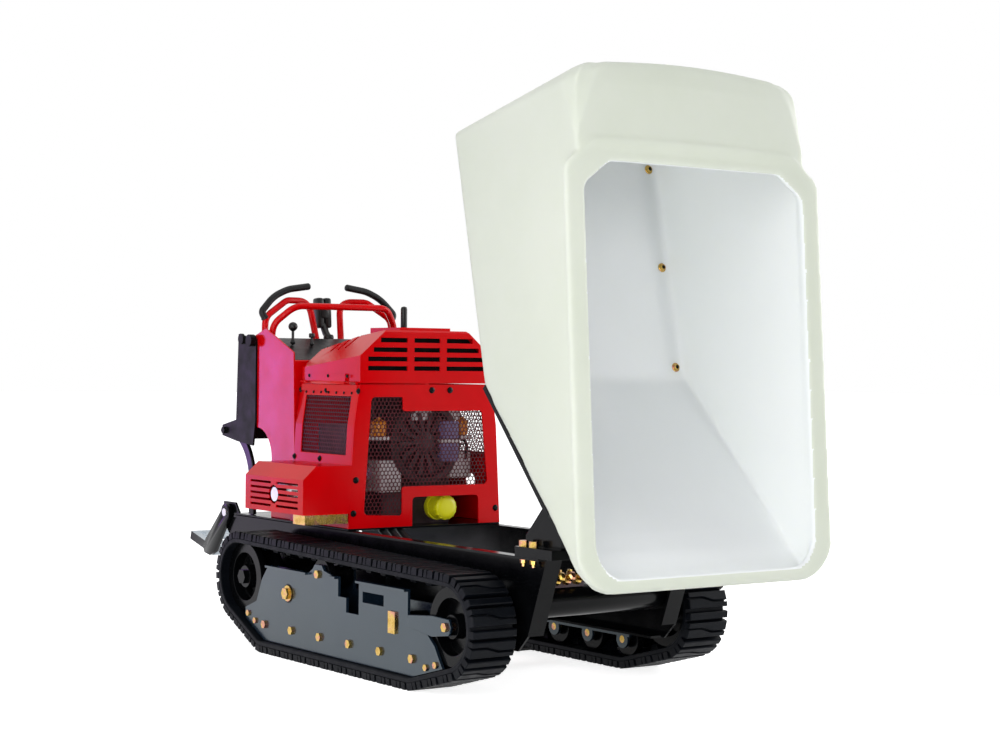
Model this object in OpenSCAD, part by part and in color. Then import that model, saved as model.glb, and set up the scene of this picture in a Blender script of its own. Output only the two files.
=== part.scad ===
// Stand-on tracked carrier with a tipping poly tub, drawn with the tub tipped.
// x runs forward, y to the left, z up from the ground. Millimetres.
// Wheel frame: x is zero at the rear road wheel; place() moves it to the middle of the length.

/* [Tracks] */
// Width over both tracks
machine_w = 810; // [770:1:850]
// Width of one rubber track
track_w = 130; // [122:1:140]
// Spacing of the road wheels
wheel_pitch = 152.5; // [140:0.5:165]
// Height of the road wheel axles
road_axle_z = 79; // [74:1:86]
// Sprocket centre, along x
sprocket_x = -140; // [-160:1:-120]
// Sprocket centre height
sprocket_z = 200; // [185:1:215]
// Radius of the track round the sprocket, to the tread tops
sprocket_ro = 130; // [122:1:138]
// Idler centre ahead of the last road wheel
idler_gap = 158.5; // [145:0.5:175]
// Idler centre height
idler_z = 176; // [165:1:190]
// Radius of the track round the idler, to the tread tops
idler_ro = 132; // [122:1:140]
// Thickness of the track band
band_t = 14; // [12:0.5:18]
// Height of the tread blocks
tread_h = 18; // [14:0.5:20]
// Wished spacing of the tread pattern
lug_pitch = 72; // [60:1:90]
// Depth that the wheels leave free for the guide lugs of the track
guide_h = 18; // [12:1:20]
// Width that the wheels leave free for the guide lugs of the track
guide_w = 30; // [24:1:36]
// Top roller, along x
roller_x = 293; // [270:1:310]
// Top roller radius
roller_r = 42; // [38:1:46]
// Thickness of the track frame plates
frame_t = 8; // [6:0.5:10]

/* [Chassis] */
// Height of the rail tops
rail_z = 352; // [345:1:360]
// Gap between the track and the outer face of the rail webs
rail_gap = 39; // [35:1:45]
// Sheet thickness of the rails
rail_t = 6; // [5:0.5:8]
// Width of the rail top flange beyond the web
flange_w = 26; // [20:1:30]
// Front end of the rails
rail_front_x = 1115; // [1095:1:1130]
// Bottom edge of the rails
rail_low_z = 115; // [105:1:125]

/* [Tub] */
// Pivot of the tub, along x
pivot_x = 1166; // [1160:1:1180]
// Pivot height
pivot_z = 528; // [524:1:540]
// Tipping angle in the drawn pose
tip_angle = 77.2; // [60:0.1:80]
// Pivot ahead of the rear wall of the tub
pivot_u = 926.5; // [920:0.5:930]
// Pivot below the sloping front of the tub
pivot_drop = 28.3; // [26:0.1:32]
// Flat length of the tub floor
floor_len = 637; // [625:1:645]
// Length of the tub to the lip
tub_len = 1199; // [1180:1:1220]
// Height of the lip above the floor
lip_h = 359; // [345:1:375]
// Height of the rear wall of the tub
tub_h = 545; // [525:1:565]
// Half width of the tub at the floor
tub_half = 328; // [322:1:334]
// Half width of the tub at the rear top
tub_top_half = 356; // [350:1:362]
// Wall thickness of the tub
tub_wall = 10; // [8:0.5:12]
// Half width over the rim
rim_half = 394; // [386:1:402]
// Length of the deck behind the opening
deck_len = 190; // [170:1:210]
// Width of the rim flange
rim_w = 48; // [44:1:52]

/* [Body] */
// Front face of the engine body
body_x = 228; // [222:1:232]
// Length of the engine body
body_len = 326; // [316:1:330]
// Half width at the hood seam
body_top_half = 222; // [216:1:226]
// Half width at the foot
body_low_half = 256; // [250:1:260]
// Height of the hood seam
seam_z = 760; // [750:1:770]
// Height of the hood top at the front
hood_z = 910; // [895:1:912]
// Sheet thickness of the body
sheet_t = 4; // [3:0.5:5]
// Outer face of the muffler guard
guard_y = 400; // [390:1:404]
// Top of the muffler guard
guard_z = 533; // [520:1:540]

/* [Console] */
// Half width of the console
console_half = 240; // [234:1:244]
// Highest point of the console sides
console_z = 917; // [905:1:925]
// Depth of the control panel below the edges
panel_drop = 25; // [20:1:30]
// Radius of the red handle tubes
tube_r = 10; // [8:0.5:11]
// Radius of the black hand grips
grip_r = 13.5; // [12:0.5:15]

/* [Operator end] */
// Pivot of the platform, along x
step_x = -510; // [-520:1:-500]
// Pivot height of the platform
step_z = 355; // [345:1:362]
// Depth of the tread
tread_len = 158; // [140:1:175]
// Tilt of the tread in the drawn pose
tread_tilt = 14; // [8:1:18]
// Thickness of the thigh pad at the top
pad_t = 84; // [70:1:95]

/* [Hidden] */
// Facets of curved parts
$fn = 48;
// Radial clearance of turning fits
fit = 0.05;
// Clearance between separate moving pieces
gap = 0.4;
// Small overlap of fused pieces
eps = 0.2;
// Road wheels on each side
wheel_n = 6;
// Whole thickness of the track
track_t = band_t + tread_h;
// Last road wheel
last_x = (wheel_n - 1) * wheel_pitch;
// Idler centre
idler_x = last_x + idler_gap;
// Middle of the right track, as a distance from the centre plane
mid_y = machine_w / 2 - track_w / 2;
// Outer face of the rail webs
rail_y = machine_w / 2 - track_w - rail_gap;
// Width of every wheel inside the track
wheel_w = 76;
// Groove for the guide lugs
groove_w = guide_w + 4;
// Inner frame plate, inner face
inner_y = mid_y - wheel_w / 2 - 10 - frame_t;
// Outer frame plate, outer face
outer_y = mid_y + wheel_w / 2 + 2 + frame_t;
// Axle radius
axle_r = 10;

// Circles the track runs round, in order: x, z, radius to the tread tops
loop_c = [
    [0, road_axle_z, road_axle_z],
    [last_x, road_axle_z, road_axle_z],
    [idler_x, idler_z, idler_ro],
    [sprocket_x, sprocket_z, sprocket_ro]
];
// Number of circles
loop_n = len(loop_c);
// Outward normal of the straight run that leaves circle i
function run_n(i) =
    let (
        a = loop_c[i],
        b = loop_c[(i + 1) % loop_n],
        dx = b[0] - a[0],
        dz = b[1] - a[1],
        d = norm([dx, dz]),
        s = (a[2] - b[2]) / d,
        q = sqrt(1 - s * s)
    )
    [(dx * s + dz * q) / d, (dz * s - dx * q) / d];
// Angle of that normal
function run_a(i) = atan2(run_n(i)[1], run_n(i)[0]);
// Start angle of the arc on circle i
function arc_a(i) = run_a((i + loop_n - 1) % loop_n);
// Sweep of the arc on circle i
function arc_s(i) = (run_a(i) - arc_a(i) + 720) % 360;
// Smooth outline, moved outward by e
function loop_pts(e) = [
    for (i = [0 : loop_n - 1])
        let (r = loop_c[i][2] + e, m = max(3, ceil(arc_s(i) / 9)))
        for (k = [0 : m])
            let (a = arc_a(i) + arc_s(i) * k / m)
            [loop_c[i][0] + r * cos(a), loop_c[i][1] + r * sin(a)]
];
// Length of arc i at offset e
function arc_len(i, e) = (loop_c[i][2] + e) * arc_s(i) * PI / 180;
// Length of the straight run after circle i
function run_len(i) =
    let (a = loop_c[i], b = loop_c[(i + 1) % loop_n])
    sqrt(pow(b[0] - a[0], 2) + pow(b[1] - a[1], 2) - pow(a[2] - b[2], 2));
// Length of piece k of the loop, arcs even and straights odd
function piece_len(k, e) = k % 2 == 0 ? arc_len(floor(k / 2), e) : run_len(floor(k / 2));
// Length of the loop before piece k
function len_to(k, e) = k == 0 ? 0 : len_to(k - 1, e) + piece_len(k - 1, e);
// Piece that holds the length s
function piece_at(s, e, k = 0) =
    (k == 2 * loop_n - 1 || s < len_to(k + 1, e)) ? k : piece_at(s, e, k + 1);
// Point at length s along the offset e, h further out
function loop_at(s, e, h) =
    let (k = piece_at(s, e), t = s - len_to(k, e), i = floor(k / 2), c = loop_c[i], r = c[2] + e)
    k % 2 == 0
        ? let (a = arc_a(i) + t / r * 180 / PI) [c[0] + (r + h) * cos(a), c[1] + (r + h) * sin(a)]
        : let (n = run_n(i)) [c[0] + (r + h) * n[0] - n[1] * t, c[1] + (r + h) * n[1] + n[0] * t];
// Length of the band surface
band_len = len_to(2 * loop_n, -tread_h);
// Tread patterns on the loop and their true spacing
lug_n = round(band_len / lug_pitch);
lug_p = band_len / lug_n;
// Tread outline: a wide block and a narrow bar in each pattern
tread_pts = [
    for (k = [0 : lug_n - 1])
        for (q = [[0.05, 0], [0.08, 1], [0.57, 1], [0.60, 0], [0.68, 0], [0.71, 1], [0.90, 1], [0.93, 0]])
            loop_at((k + q[0]) * lug_p, -tread_h, q[1] * tread_h)
];
// Height of the inner face of the top run at x
function top_in(x) =
    let (n = run_n(2), c = loop_c[2], r = c[2] - track_t)
    c[1] + r * n[1] - n[0] * (x - c[0] - r * n[0]) / n[1];
// Height of the inner face of the front ramp at x
function front_in(x) =
    let (n = run_n(1), c = loop_c[1], r = c[2] - track_t)
    c[1] + r * n[1] - n[0] * (x - c[0] - r * n[0]) / n[1];
// Height of the inner face of the rear ramp at x
function rear_in(x) =
    let (n = run_n(3), c = loop_c[0], r = c[2] - track_t)
    c[1] + r * n[1] - n[0] * (x - c[0] - r * n[0]) / n[1];
// Wheel radii
road_r = road_axle_z - track_t - gap;
sprocket_r = sprocket_ro - track_t - gap;
idler_r = idler_ro - track_t - gap;
// Top roller axle height
roller_z = top_in(roller_x) - roller_r - gap;
// Cross tube positions: x, z, radius
tube_at = [[132, 179, 26], [671, 160, 26]];

// Unit vector
function unit(v) = v / norm(v);
// Left normal of the edge a to b
function left_n(a, b) = unit([a[1] - b[1], b[0] - a[0]]);
// Polygon with every edge moved inward by d, points counter-clockwise
function inset(p, d) = [
    for (i = [0 : len(p) - 1])
        let (
            a = p[(i + len(p) - 1) % len(p)],
            b = p[i],
            c = p[(i + 1) % len(p)],
            m = left_n(a, b),
            n = left_n(b, c)
        )
        b + (m + n) * d / (1 + m * n)
];
// Corner b rounded with radius r, as a row of points
function round_corner(a, b, c, r) =
    r <= 0 ? [b] :
    let (
        u = unit(a - b),
        v = unit(c - b),
        h = acos(max(-1, min(1, u * v))) / 2,
        o = b + unit(u + v) * r / sin(h),
        p = b + u * r / tan(h),
        q = b + v * r / tan(h),
        a0 = atan2(p[1] - o[1], p[0] - o[0]),
        a1 = atan2(q[1] - o[1], q[0] - o[0]),
        s = ((a1 - a0 + 540) % 360) - 180,
        m = max(2, ceil(abs(s) / 12))
    )
    [for (k = [0 : m]) o + r * [cos(a0 + s * k / m), sin(a0 + s * k / m)]];
// Polygon with rounded corners
function rounded(p, r) = [
    for (i = [0 : len(p) - 1])
        each round_corner(p[(i + len(p) - 1) % len(p)], p[i], p[(i + 1) % len(p)], r[i])
];
// Half width of the body side at height z
function body_half(z) =
    z > seam_z - 120
        ? body_top_half + (body_mid_half - body_top_half) * (seam_z - z) / 120
        : body_mid_half + (body_low_half - body_mid_half) * (seam_z - 120 - z) / (seam_z - 120 - deck_z);
// Half width at the break of the side
body_mid_half = body_top_half + 0.53 * (body_low_half - body_top_half);
// Top of the engine deck
deck_t = 6;
deck_z = rail_z + deck_t;
// Rear end of the engine body
body_rear_x = body_x - body_len;
// Foot of the front panel above the deck
panel_low_z = deck_z;
// Rim plane: slope of the line from the rear top to the lip
rim_slope = atan2(tub_h - lip_h, tub_len);
// Slope of the tub front
slope_u = tub_len - 58;
slope_h = lip_h - 62;
slope_a = atan2(slope_h, slope_u - floor_len);
// Height of the slope at u
function slope_w(u) = (u - floor_len) * tan(slope_a);
// Pivot above the underside of the tub floor
pivot_w = slope_w(pivot_u) - pivot_drop;
// Slope plate thickness
slope_t = 10;
// Underside of the slope plate at u
function plate_w(u) = slope_w(u) - slope_t / cos(slope_a);
// Tub side profile: u along the floor, w up from it
tub_prof = [[0, 0], [floor_len, 0], [slope_u, slope_h], [tub_len, lip_h], [0, tub_h]];
// Tub cross section
tub_sect = [[-tub_half, 0], [tub_half, 0], [tub_top_half, tub_h + 20], [-tub_top_half, tub_h + 20]];
// Tub plan, wider than the section
tub_plan_half = tub_top_half + 4;
tub_plan = [[0, -tub_plan_half], [tub_len + 20, -tub_plan_half], [tub_len + 20, tub_plan_half], [0, tub_plan_half]];
// Cylinder end on the tub, from the pivot, in the level tub
lug_du = -75;
lug_dw = -70;
// Cylinder base
base_x = 560;
base_z = 200;
// Rotation about y of a vector in x and z
function turn(v, a) = [v[0] * cos(a) + v[1] * sin(a), v[1] * cos(a) - v[0] * sin(a)];
// Cylinder end in the drawn pose
lug_xz = [pivot_x, pivot_z] + turn([lug_du, lug_dw], tip_angle);
// Cylinder length and angle in the drawn pose
cyl_l = norm(lug_xz - [base_x, base_z]);
cyl_a = atan2(lug_xz[1] - base_z, lug_xz[0] - base_x);
// Cylinder length with the tub down
cyl_short = norm([pivot_x + lug_du - base_x, pivot_z + lug_dw - base_z]);
// Pin radius of the pivots
pin_r = 12;
// Ear plate, inner face and thickness
ear_y = rail_y - 24;
ear_t = 16;
// Hinge lug of the tub, outer face and thickness
lug_y = ear_y - 2;
lug_t = 16;
// Control panel height at x
function panel_z(x) = console_z - panel_drop - 4 - (x < -280 ? (-280 - x) * 0.324 : (x + 280) * 0.392);
// Tread hinge line below the pivot
step_drop = [-100, -126];
// Depth of the tread frame below its hinge line
tread_dn = 14;
// Rear edge of the tread in the drawn pose
tread_rear = step_x + step_drop[0] - tread_len * cos(tread_tilt) - tread_dn * sin(tread_tilt);
// Front of the rim in the drawn pose
rim_front_u = tub_len + 8;
rim_up = 8;
rim_dn = 10;
// Rim point to the pivot, turned to the drawn pose
rim_tip_q = [
    rim_front_u * cos(rim_slope) + rim_up * sin(rim_slope),
    tub_h - rim_front_u * sin(rim_slope) + rim_up * cos(rim_slope)
];
rim_tip = pivot_x + turn(rim_tip_q - [pivot_u, pivot_w], tip_angle)[0];
// Middle of the length
x_mid = (rim_tip + tread_rear) / 2;

// Colours
c_red = [0.80, 0.05, 0.06];
c_black = [0.09, 0.10, 0.12];
c_plate = [0.22, 0.25, 0.29];
c_rubber = [0.11, 0.12, 0.14];
c_white = [0.88, 0.89, 0.85];
c_zinc = [0.80, 0.65, 0.30];
c_steel = [0.68, 0.70, 0.72];
c_yellow = [0.90, 0.85, 0.10];

// Moves the wheel frame to the middle of the length
module place() translate([-x_mid, 0, 0]) children();
// Solid of a polygon in x and z, from y0 to y1
module slab(p, y0, y1) translate([0, y1, 0]) rotate([90, 0, 0]) linear_extrude(height = y1 - y0) polygon(p);
// Solid of a polygon in y and z, from x0 to x1
module bar(p, x0, x1) translate([x0, 0, 0]) rotate([90, 0, 90]) linear_extrude(height = x1 - x0) polygon(p);
// Box between two corners
module box(a, b) translate(a) cube(b - a);
// Cylinder along y, from y0 to y1
module ycyl(x, z, r, y0, y1, fn = 48)
    translate([x, y0, z]) rotate([-90, 0, 0]) cylinder(r = r, h = y1 - y0, $fn = fn);
// Cylinder along x, from x0 to x1
module xcyl(y, z, r, x0, x1, fn = 48)
    translate([x0, y, z]) rotate([0, 90, 0]) cylinder(r = r, h = x1 - x0, $fn = fn);
// Rod between two points
module rod(a, b, r) {
    d = b - a;
    translate(a) rotate([0, acos(d[2] / norm(d)), atan2(d[1], d[0])]) cylinder(r = r, h = norm(d));
}
// Tube through a row of points, with slightly larger balls at the bends
module tube(p, r) {
    for (i = [0 : len(p) - 2]) rod(p[i], p[i + 1], r);
    for (i = [1 : len(p) - 2]) translate(p[i]) sphere(r = r + 0.4);
}
// Both sides: as drawn on the left and mirrored to the right
module both() {
    children();
    mirror([0, 1, 0]) children();
}
// Ring of profile points turned about y at x, z
module turned(p, x, y, z) translate([x, y, z]) rotate([-90, 0, 0]) rotate_extrude() polygon(p);

// Rubber track on the left
module track_body() {
    y0 = mid_y - track_w / 2;
    difference() {
        slab(tread_pts, y0, y0 + track_w);
        slab(loop_pts(-track_t), y0 - 1, y0 + track_w + 1);
    }
}
module track_left() color(c_rubber) place() track_body();
module track_right() color(c_rubber) place() mirror([0, 1, 0]) track_body();

// Wheel with a groove for the guide lugs and a solid web
module disc_wheel(r, bore, x, z) {
    d = guide_h + 3;
    h = wheel_w / 2;
    g = groove_w / 2;
    turned([
        [bore, -h], [r, -h], [r, -g], [r - d, -g], [r - d, g], [r, g], [r, h], [bore, h]
    ], x, mid_y, z);
}
// Wheel with a rim, a web and a hub
module rim_wheel(r, bore, hub, x, z) {
    d = guide_h + 3;
    i = r - d - 8;
    h = wheel_w / 2;
    g = groove_w / 2;
    w = 8;
    turned([
        [bore, -h], [hub, -h], [hub, -w], [i, -w], [i, -h], [r, -h], [r, -g], [r - d, -g],
        [r - d, g], [r, g], [r, h], [i, h], [i, w], [hub, w], [hub, h], [bore, h]
    ], x, mid_y, z);
}
module road_wheel(i) disc_wheel(road_r, axle_r + fit, i * wheel_pitch, road_axle_z);
module road_wheel_left_1() color(c_plate) place() road_wheel(0);
module road_wheel_left_2() color(c_plate) place() road_wheel(1);
module road_wheel_left_3() color(c_plate) place() road_wheel(2);
module road_wheel_left_4() color(c_plate) place() road_wheel(3);
module road_wheel_left_5() color(c_plate) place() road_wheel(4);
module road_wheel_left_6() color(c_plate) place() road_wheel(5);
module road_wheel_right_1() color(c_plate) place() mirror([0, 1, 0]) road_wheel(0);
module road_wheel_right_2() color(c_plate) place() mirror([0, 1, 0]) road_wheel(1);
module road_wheel_right_3() color(c_plate) place() mirror([0, 1, 0]) road_wheel(2);
module road_wheel_right_4() color(c_plate) place() mirror([0, 1, 0]) road_wheel(3);
module road_wheel_right_5() color(c_plate) place() mirror([0, 1, 0]) road_wheel(4);
module road_wheel_right_6() color(c_plate) place() mirror([0, 1, 0]) road_wheel(5);
module roller_body() disc_wheel(roller_r, axle_r + fit, roller_x, roller_z);
module top_roller_left() color(c_plate) place() roller_body();
module top_roller_right() color(c_plate) place() mirror([0, 1, 0]) roller_body();

// Window between two spokes: middle angle, half angle, inner and outer radius
function window(a, h, r0, r1) = concat(
    [for (k = [-2 : 2]) [sprocket_x + r1 * cos(a + k * h / 2), sprocket_z + r1 * sin(a + k * h / 2)]],
    [for (k = [2 : -1 : -2]) [sprocket_x + r0 * cos(a + k * h / 2), sprocket_z + r0 * sin(a + k * h / 2)]]
);
// Drive sprocket with five wide spokes
shaft_r = 15;
module sprocket_body() {
    r_out = sprocket_r - guide_h - 16;
    difference() {
        rim_wheel(sprocket_r, shaft_r + fit, 32, sprocket_x, sprocket_z);
        for (k = [0 : 4]) slab(window(72 * k + 20, 22, 38, r_out), mid_y - 20, mid_y + 20);
    }
}
module sprocket_left() color(c_plate) place() sprocket_body();
module sprocket_right() color(c_plate) place() mirror([0, 1, 0]) sprocket_body();
// Front idler with a solid web
module idler_body() rim_wheel(idler_r, axle_r + fit, 30, idler_x, idler_z);
module idler_left() color(c_plate) place() idler_body();
module idler_right() color(c_plate) place() mirror([0, 1, 0]) idler_body();

// Outer plate of the track frame
plate_low = track_t + 2;
plate_top = 250;
module outer_plate() {
    f = last_x - 24;
    h = roller_z;
    p = [
        [-115, rear_in(-115) + 6], [-45, rear_in(-45) + 4], [0, plate_low], [last_x, plate_low],
        [last_x + 135, front_in(last_x + 135) + 4], [last_x + 128, front_in(last_x + 128) + 14],
        [last_x + 98, 122], [last_x + 52, 158], [f, 178], [f, plate_top], [roller_x + 72, plate_top],
        [roller_x + 30, h + 12], [roller_x + 18, h + 25], [roller_x - 18, h + 25], [roller_x - 30, h + 12],
        [roller_x - 50, plate_top - 3], [18, plate_top - 3], [-20, 204], [-50, 140], [-115, 116]
    ];
    difference() {
        union() {
            slab(p, outer_y - frame_t, outer_y);
            box([18, outer_y - eps, plate_top - 9], [roller_x - 50, outer_y + 12, plate_top - 3]);
            box([roller_x + 72, outer_y - eps, plate_top - 6], [f, outer_y + 12, plate_top]);
        }
        for (i = [0 : wheel_n - 1])
            ycyl(i * wheel_pitch, road_axle_z, axle_r + fit, outer_y - 20, outer_y + 20);
        ycyl(roller_x, roller_z, axle_r + fit, outer_y - 20, outer_y + 20);
        for (t = tube_at) ycyl(t[0], t[1], t[2] + fit, outer_y - 20, outer_y + 20);
        box([398, outer_y - 20, 198], [503, outer_y + 20, plate_top + 5]);
        box([440, outer_y - 20, 160], [503, outer_y + 20, plate_top + 5]);
        box([522, outer_y - 20, 195], [625, outer_y + 20, 223]);
        for (b = frame_bolt_at) ycyl(b[0], b[1], 6 + fit, outer_y - 20, outer_y + 20);
    }
}
// Small bolts at the ends of the outer plate
frame_bolt_at = [
    [-96, 101], [-55, 84], [last_x + 62, front_in(last_x + 62) + 18], [last_x + 105, front_in(last_x + 105) + 18]
];
// Inner plate of the track frame
module inner_plate() {
    difference() {
        union() {
            box([sprocket_x + 30, inner_y, 88], [last_x + 30, inner_y + frame_t, 205]);
            ycyl(sprocket_x, sprocket_z, 66, inner_y, inner_y + frame_t);
            ycyl(roller_x, roller_z, 26, inner_y, inner_y + frame_t);
            box([roller_x - 26, inner_y, 180], [roller_x + 26, inner_y + frame_t, roller_z]);
            for (i = [0 : wheel_n - 1]) ycyl(i * wheel_pitch, road_axle_z, 24, inner_y, inner_y + frame_t);
        }
        for (i = [0 : wheel_n - 1])
            ycyl(i * wheel_pitch, road_axle_z, axle_r + fit, inner_y - 20, inner_y + 20);
        ycyl(roller_x, roller_z, axle_r + fit, inner_y - 20, inner_y + 20);
        ycyl(sprocket_x, sprocket_z, shaft_r + 1, inner_y - 20, inner_y + 20);
        for (t = tube_at) ycyl(t[0], t[1], t[2] + fit, inner_y - 20, inner_y + 20);
    }
}
module track_frame_left() color(c_plate) place() {
    outer_plate();
    inner_plate();
}
module track_frame_right() color(c_plate) place() mirror([0, 1, 0]) {
    outer_plate();
    inner_plate();
}
// Idler arms on both faces of each frame
arm_bolt_x = last_x - 4;
module arm_plate(y0) {
    p = [
        [idler_x - 170, idler_z - 18], [idler_x - 60, idler_z - 30], [idler_x + 12, idler_z - 20],
        [idler_x + 22, idler_z], [idler_x + 12, idler_z + 20], [idler_x - 60, idler_z + 22],
        [idler_x - 170, idler_z + 12]
    ];
    difference() {
        slab(p, y0, y0 + frame_t);
        ycyl(idler_x, idler_z, axle_r + fit, y0 - 5, y0 + 20);
    }
}
module idler_arms() color(c_plate) place() both() {
    arm_plate(outer_y);
    arm_plate(inner_y - frame_t);
}
// Axles with bolt heads
module axle(x, z, y0, y1) {
    ycyl(x, z, axle_r, y0, y1 + eps);
    ycyl(x, z, 12, y1, y1 + 7, 6);
}
module wheel_axles() color(c_zinc) place() both() {
    for (i = [0 : wheel_n - 1]) axle(i * wheel_pitch, road_axle_z, inner_y, outer_y);
    axle(roller_x, roller_z, inner_y, outer_y);
    axle(idler_x, idler_z, inner_y - frame_t, outer_y + frame_t);
    for (b = frame_bolt_at) {
        ycyl(b[0], b[1], 6, outer_y - frame_t, outer_y + eps);
        ycyl(b[0], b[1], 9, outer_y, outer_y + 5, 6);
    }
}
// Drive motors with shafts and end nuts
module drive_motors() color(c_black) place() both() {
    ycyl(sprocket_x, sprocket_z, 48, rail_y + 3, inner_y);
    ycyl(sprocket_x, sprocket_z, shaft_r, inner_y - eps, mid_y + wheel_w / 2 + 6);
    ycyl(sprocket_x, sprocket_z, 22, mid_y + wheel_w / 2 + gap, mid_y + wheel_w / 2 + 12, 6);
}
// Cross tubes from the rails to the track frames
module cross_tubes() color(c_black) place() both()
    for (t = tube_at) ycyl(t[0], t[1], t[2], rail_y - rail_t, outer_y);

// Rail: web, top flange, low flange and slanted front flange
rail_rear_x = -545;
rail_cut_x = rail_front_x - 74;
module rail_body() {
    difference() {
        union() {
            slab([
                [rail_rear_x, 322], [-300, rail_low_z], [rail_cut_x - 40, rail_low_z], [rail_cut_x, 155],
                [rail_front_x, rail_z], [-440, rail_z], [-470, step_z + 32], [rail_rear_x, step_z + 32]
            ], rail_y - rail_t, rail_y);
            box([-430, rail_y - eps, rail_z - rail_t], [rail_front_x, rail_y + flange_w, rail_z]);
            box([-280, rail_y - 46, rail_low_z], [rail_cut_x - 45, rail_y - rail_t + eps, rail_low_z + rail_t]);
            slab([
                [rail_cut_x - 8, 156], [rail_cut_x, 155], [rail_front_x, rail_z - eps], [rail_front_x - 9, rail_z - eps]
            ], rail_y - 48, rail_y);
        }
        for (t = tube_at) ycyl(t[0], t[1], t[2] + fit, rail_y - 20, rail_y + 20);
        ycyl(step_x, step_z, pin_r + fit, rail_y - 20, rail_y + 20);
    }
}
module chassis_rail_left() color(c_black) place() rail_body();
module chassis_rail_right() color(c_black) place() mirror([0, 1, 0]) rail_body();
// Cross beams: rear box, middle beam under the cylinder, front tube
module cross_beams() color(c_black) place() {
    w = rail_y - rail_t;
    box([-460, -w, 300], [-400, w, rail_z]);
    box([base_x - 45, -w, rail_low_z + rail_t], [base_x + 45, w, base_z - 52]);
    ycyl(rail_cut_x - 32, 234, 40, -w, w);
}
// Deck under engine and console
module engine_deck() color(c_black) place()
    box([-440, -body_low_half, rail_z], [body_x, body_low_half, deck_z]);
// Ears that carry the tub pivot
module ear() {
    difference() {
        union() {
            box([1018, ear_y - 6, rail_z], [pivot_x + 4, rail_y + flange_w, rail_z + 24]);
            slab([
                [1018, rail_z + 20], [pivot_x - 6, rail_z + 20], [pivot_x + 22, pivot_z], [pivot_x, pivot_z + 22],
                [pivot_x - 30, pivot_z - 2], [pivot_x - 71, pivot_z - 45], [1018, rail_z + 49]
            ], ear_y, ear_y + ear_t);
            ycyl(pivot_x, pivot_z, 22, ear_y, ear_y + ear_t);
        }
        ycyl(pivot_x, pivot_z, pin_r + fit, ear_y - 30, ear_y + 40);
    }
}
module pivot_ears() color(c_black) place() both() ear();
// Pins of tub and platform pivots
module pivot_pins() color(c_steel) place() both() {
    ycyl(pivot_x, pivot_z, pin_r, lug_y - lug_t - 2, ear_y + ear_t + 3);
    ycyl(step_x, step_z, pin_r, rail_y - rail_t - 2, rail_y + 18);
}
// Zinc bolts and covers on chassis and frames
module zinc_hardware() color(c_zinc) place() {
    both() {
        for (x = [1038, 1079]) ycyl_up(x, rail_y + 13, rail_z + 24, 11, 15);
        ycyl(tube_at[0][0], tube_at[0][1], 22, outer_y, outer_y + 4);
        ycyl(tube_at[0][0], tube_at[0][1], 17, outer_y + 4 - eps, outer_y + 14, 6);
        box([tube_at[1][0] - 16, outer_y, tube_at[1][1] - 28],
            [tube_at[1][0] + 16, outer_y + 6, tube_at[1][1] + 28]);
    }
    box([body_x - 60, -guard_y + 4, deck_z + 16], [body_x + 4, -rail_y - 24, guard_low_z]);
}
// Upright hexagon head
module ycyl_up(x, y, z, r, h) translate([x, y, z]) cylinder(r = r, h = h, $fn = 6);

// Tub shell in the level frame
module tub_outer(d) {
    intersection() {
        slab(rounded(inset(tub_prof, d), [34 - d, 60, 60, 0, 30 - d]), -420, 420);
        bar(rounded(inset(tub_sect, d), [24 - d, 24 - d, 0, 0]), -50, tub_len + 60);
        linear_extrude(height = tub_h + 40)
            polygon(rounded(inset(tub_plan, d), [80 - d, 90 - d, 90 - d, 80 - d]));
    }
}
// Plan outline of rim and opening, along the rim line
function rim_pts(u0, u1, h, cu, cy) =
    [[u0, -h + cy], [u0 + cu, -h], [u1, -h], [u1, h], [u0 + cu, h], [u0, h - cy]];
module in_rim(z0, z1, p)
    translate([0, 0, tub_h]) rotate([0, rim_slope, 0]) translate([0, 0, z0])
        linear_extrude(height = z1 - z0) polygon(p);
rim_out_pts = rounded(rim_pts(deck_len, rim_front_u, rim_half, 60, 84), [30, 40, 96, 96, 40, 30]);
rim_in_pts = rounded(
    rim_pts(deck_len + rim_w, rim_front_u - 34, tub_half + 8, 54, 76), [24, 30, 70, 70, 30, 24]);
module in_tub()
    place() translate([pivot_x, 0, pivot_z]) rotate([0, tip_angle, 0])
        translate([-pivot_u, 0, -pivot_w]) children();
module tub() color(c_white) in_tub() {
    difference() {
        union() {
            tub_outer(0);
            in_rim(-rim_dn, rim_up, rim_out_pts);
        }
        tub_outer(tub_wall);
        in_rim(-rim_dn - 3, 40, rim_in_pts);
        for (s = [-1, 1]) for (u = tub_bolt_u)
            translate([u, s * tub_bolt_y, -20]) cylinder(r = 5 + fit, h = 60);
    }
}
// Floor bolts of the tub
tub_bolt_u = [66, 335, floor_len - 33];
tub_bolt_y = tub_half - 38;
// Rails under the floor: height, and edges from the bolt line
floor_rail_h = 14;
module tub_bolts() color(c_zinc) in_tub()
    for (s = [-1, 1]) for (u = tub_bolt_u) translate([u, s * tub_bolt_y, 0]) {
        translate([0, 0, -floor_rail_h - 8]) cylinder(r = 5, h = floor_rail_h + 8 + tub_wall + 0.1);
        translate([0, 0, tub_wall]) cylinder(r = 12, h = 3);
        translate([0, 0, tub_wall + 2.8]) cylinder(r = 8, h = 5, $fn = 6);
    }
// Rails under the tub floor
module bucket_rails() color(c_black) in_tub() both()
    difference() {
        box([34, tub_bolt_y - 26, -floor_rail_h], [floor_len - 16, tub_bolt_y + 9, 0]);
        for (u = tub_bolt_u) translate([u, tub_bolt_y, -60]) cylinder(r = 5 + fit, h = 80);
    }
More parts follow.
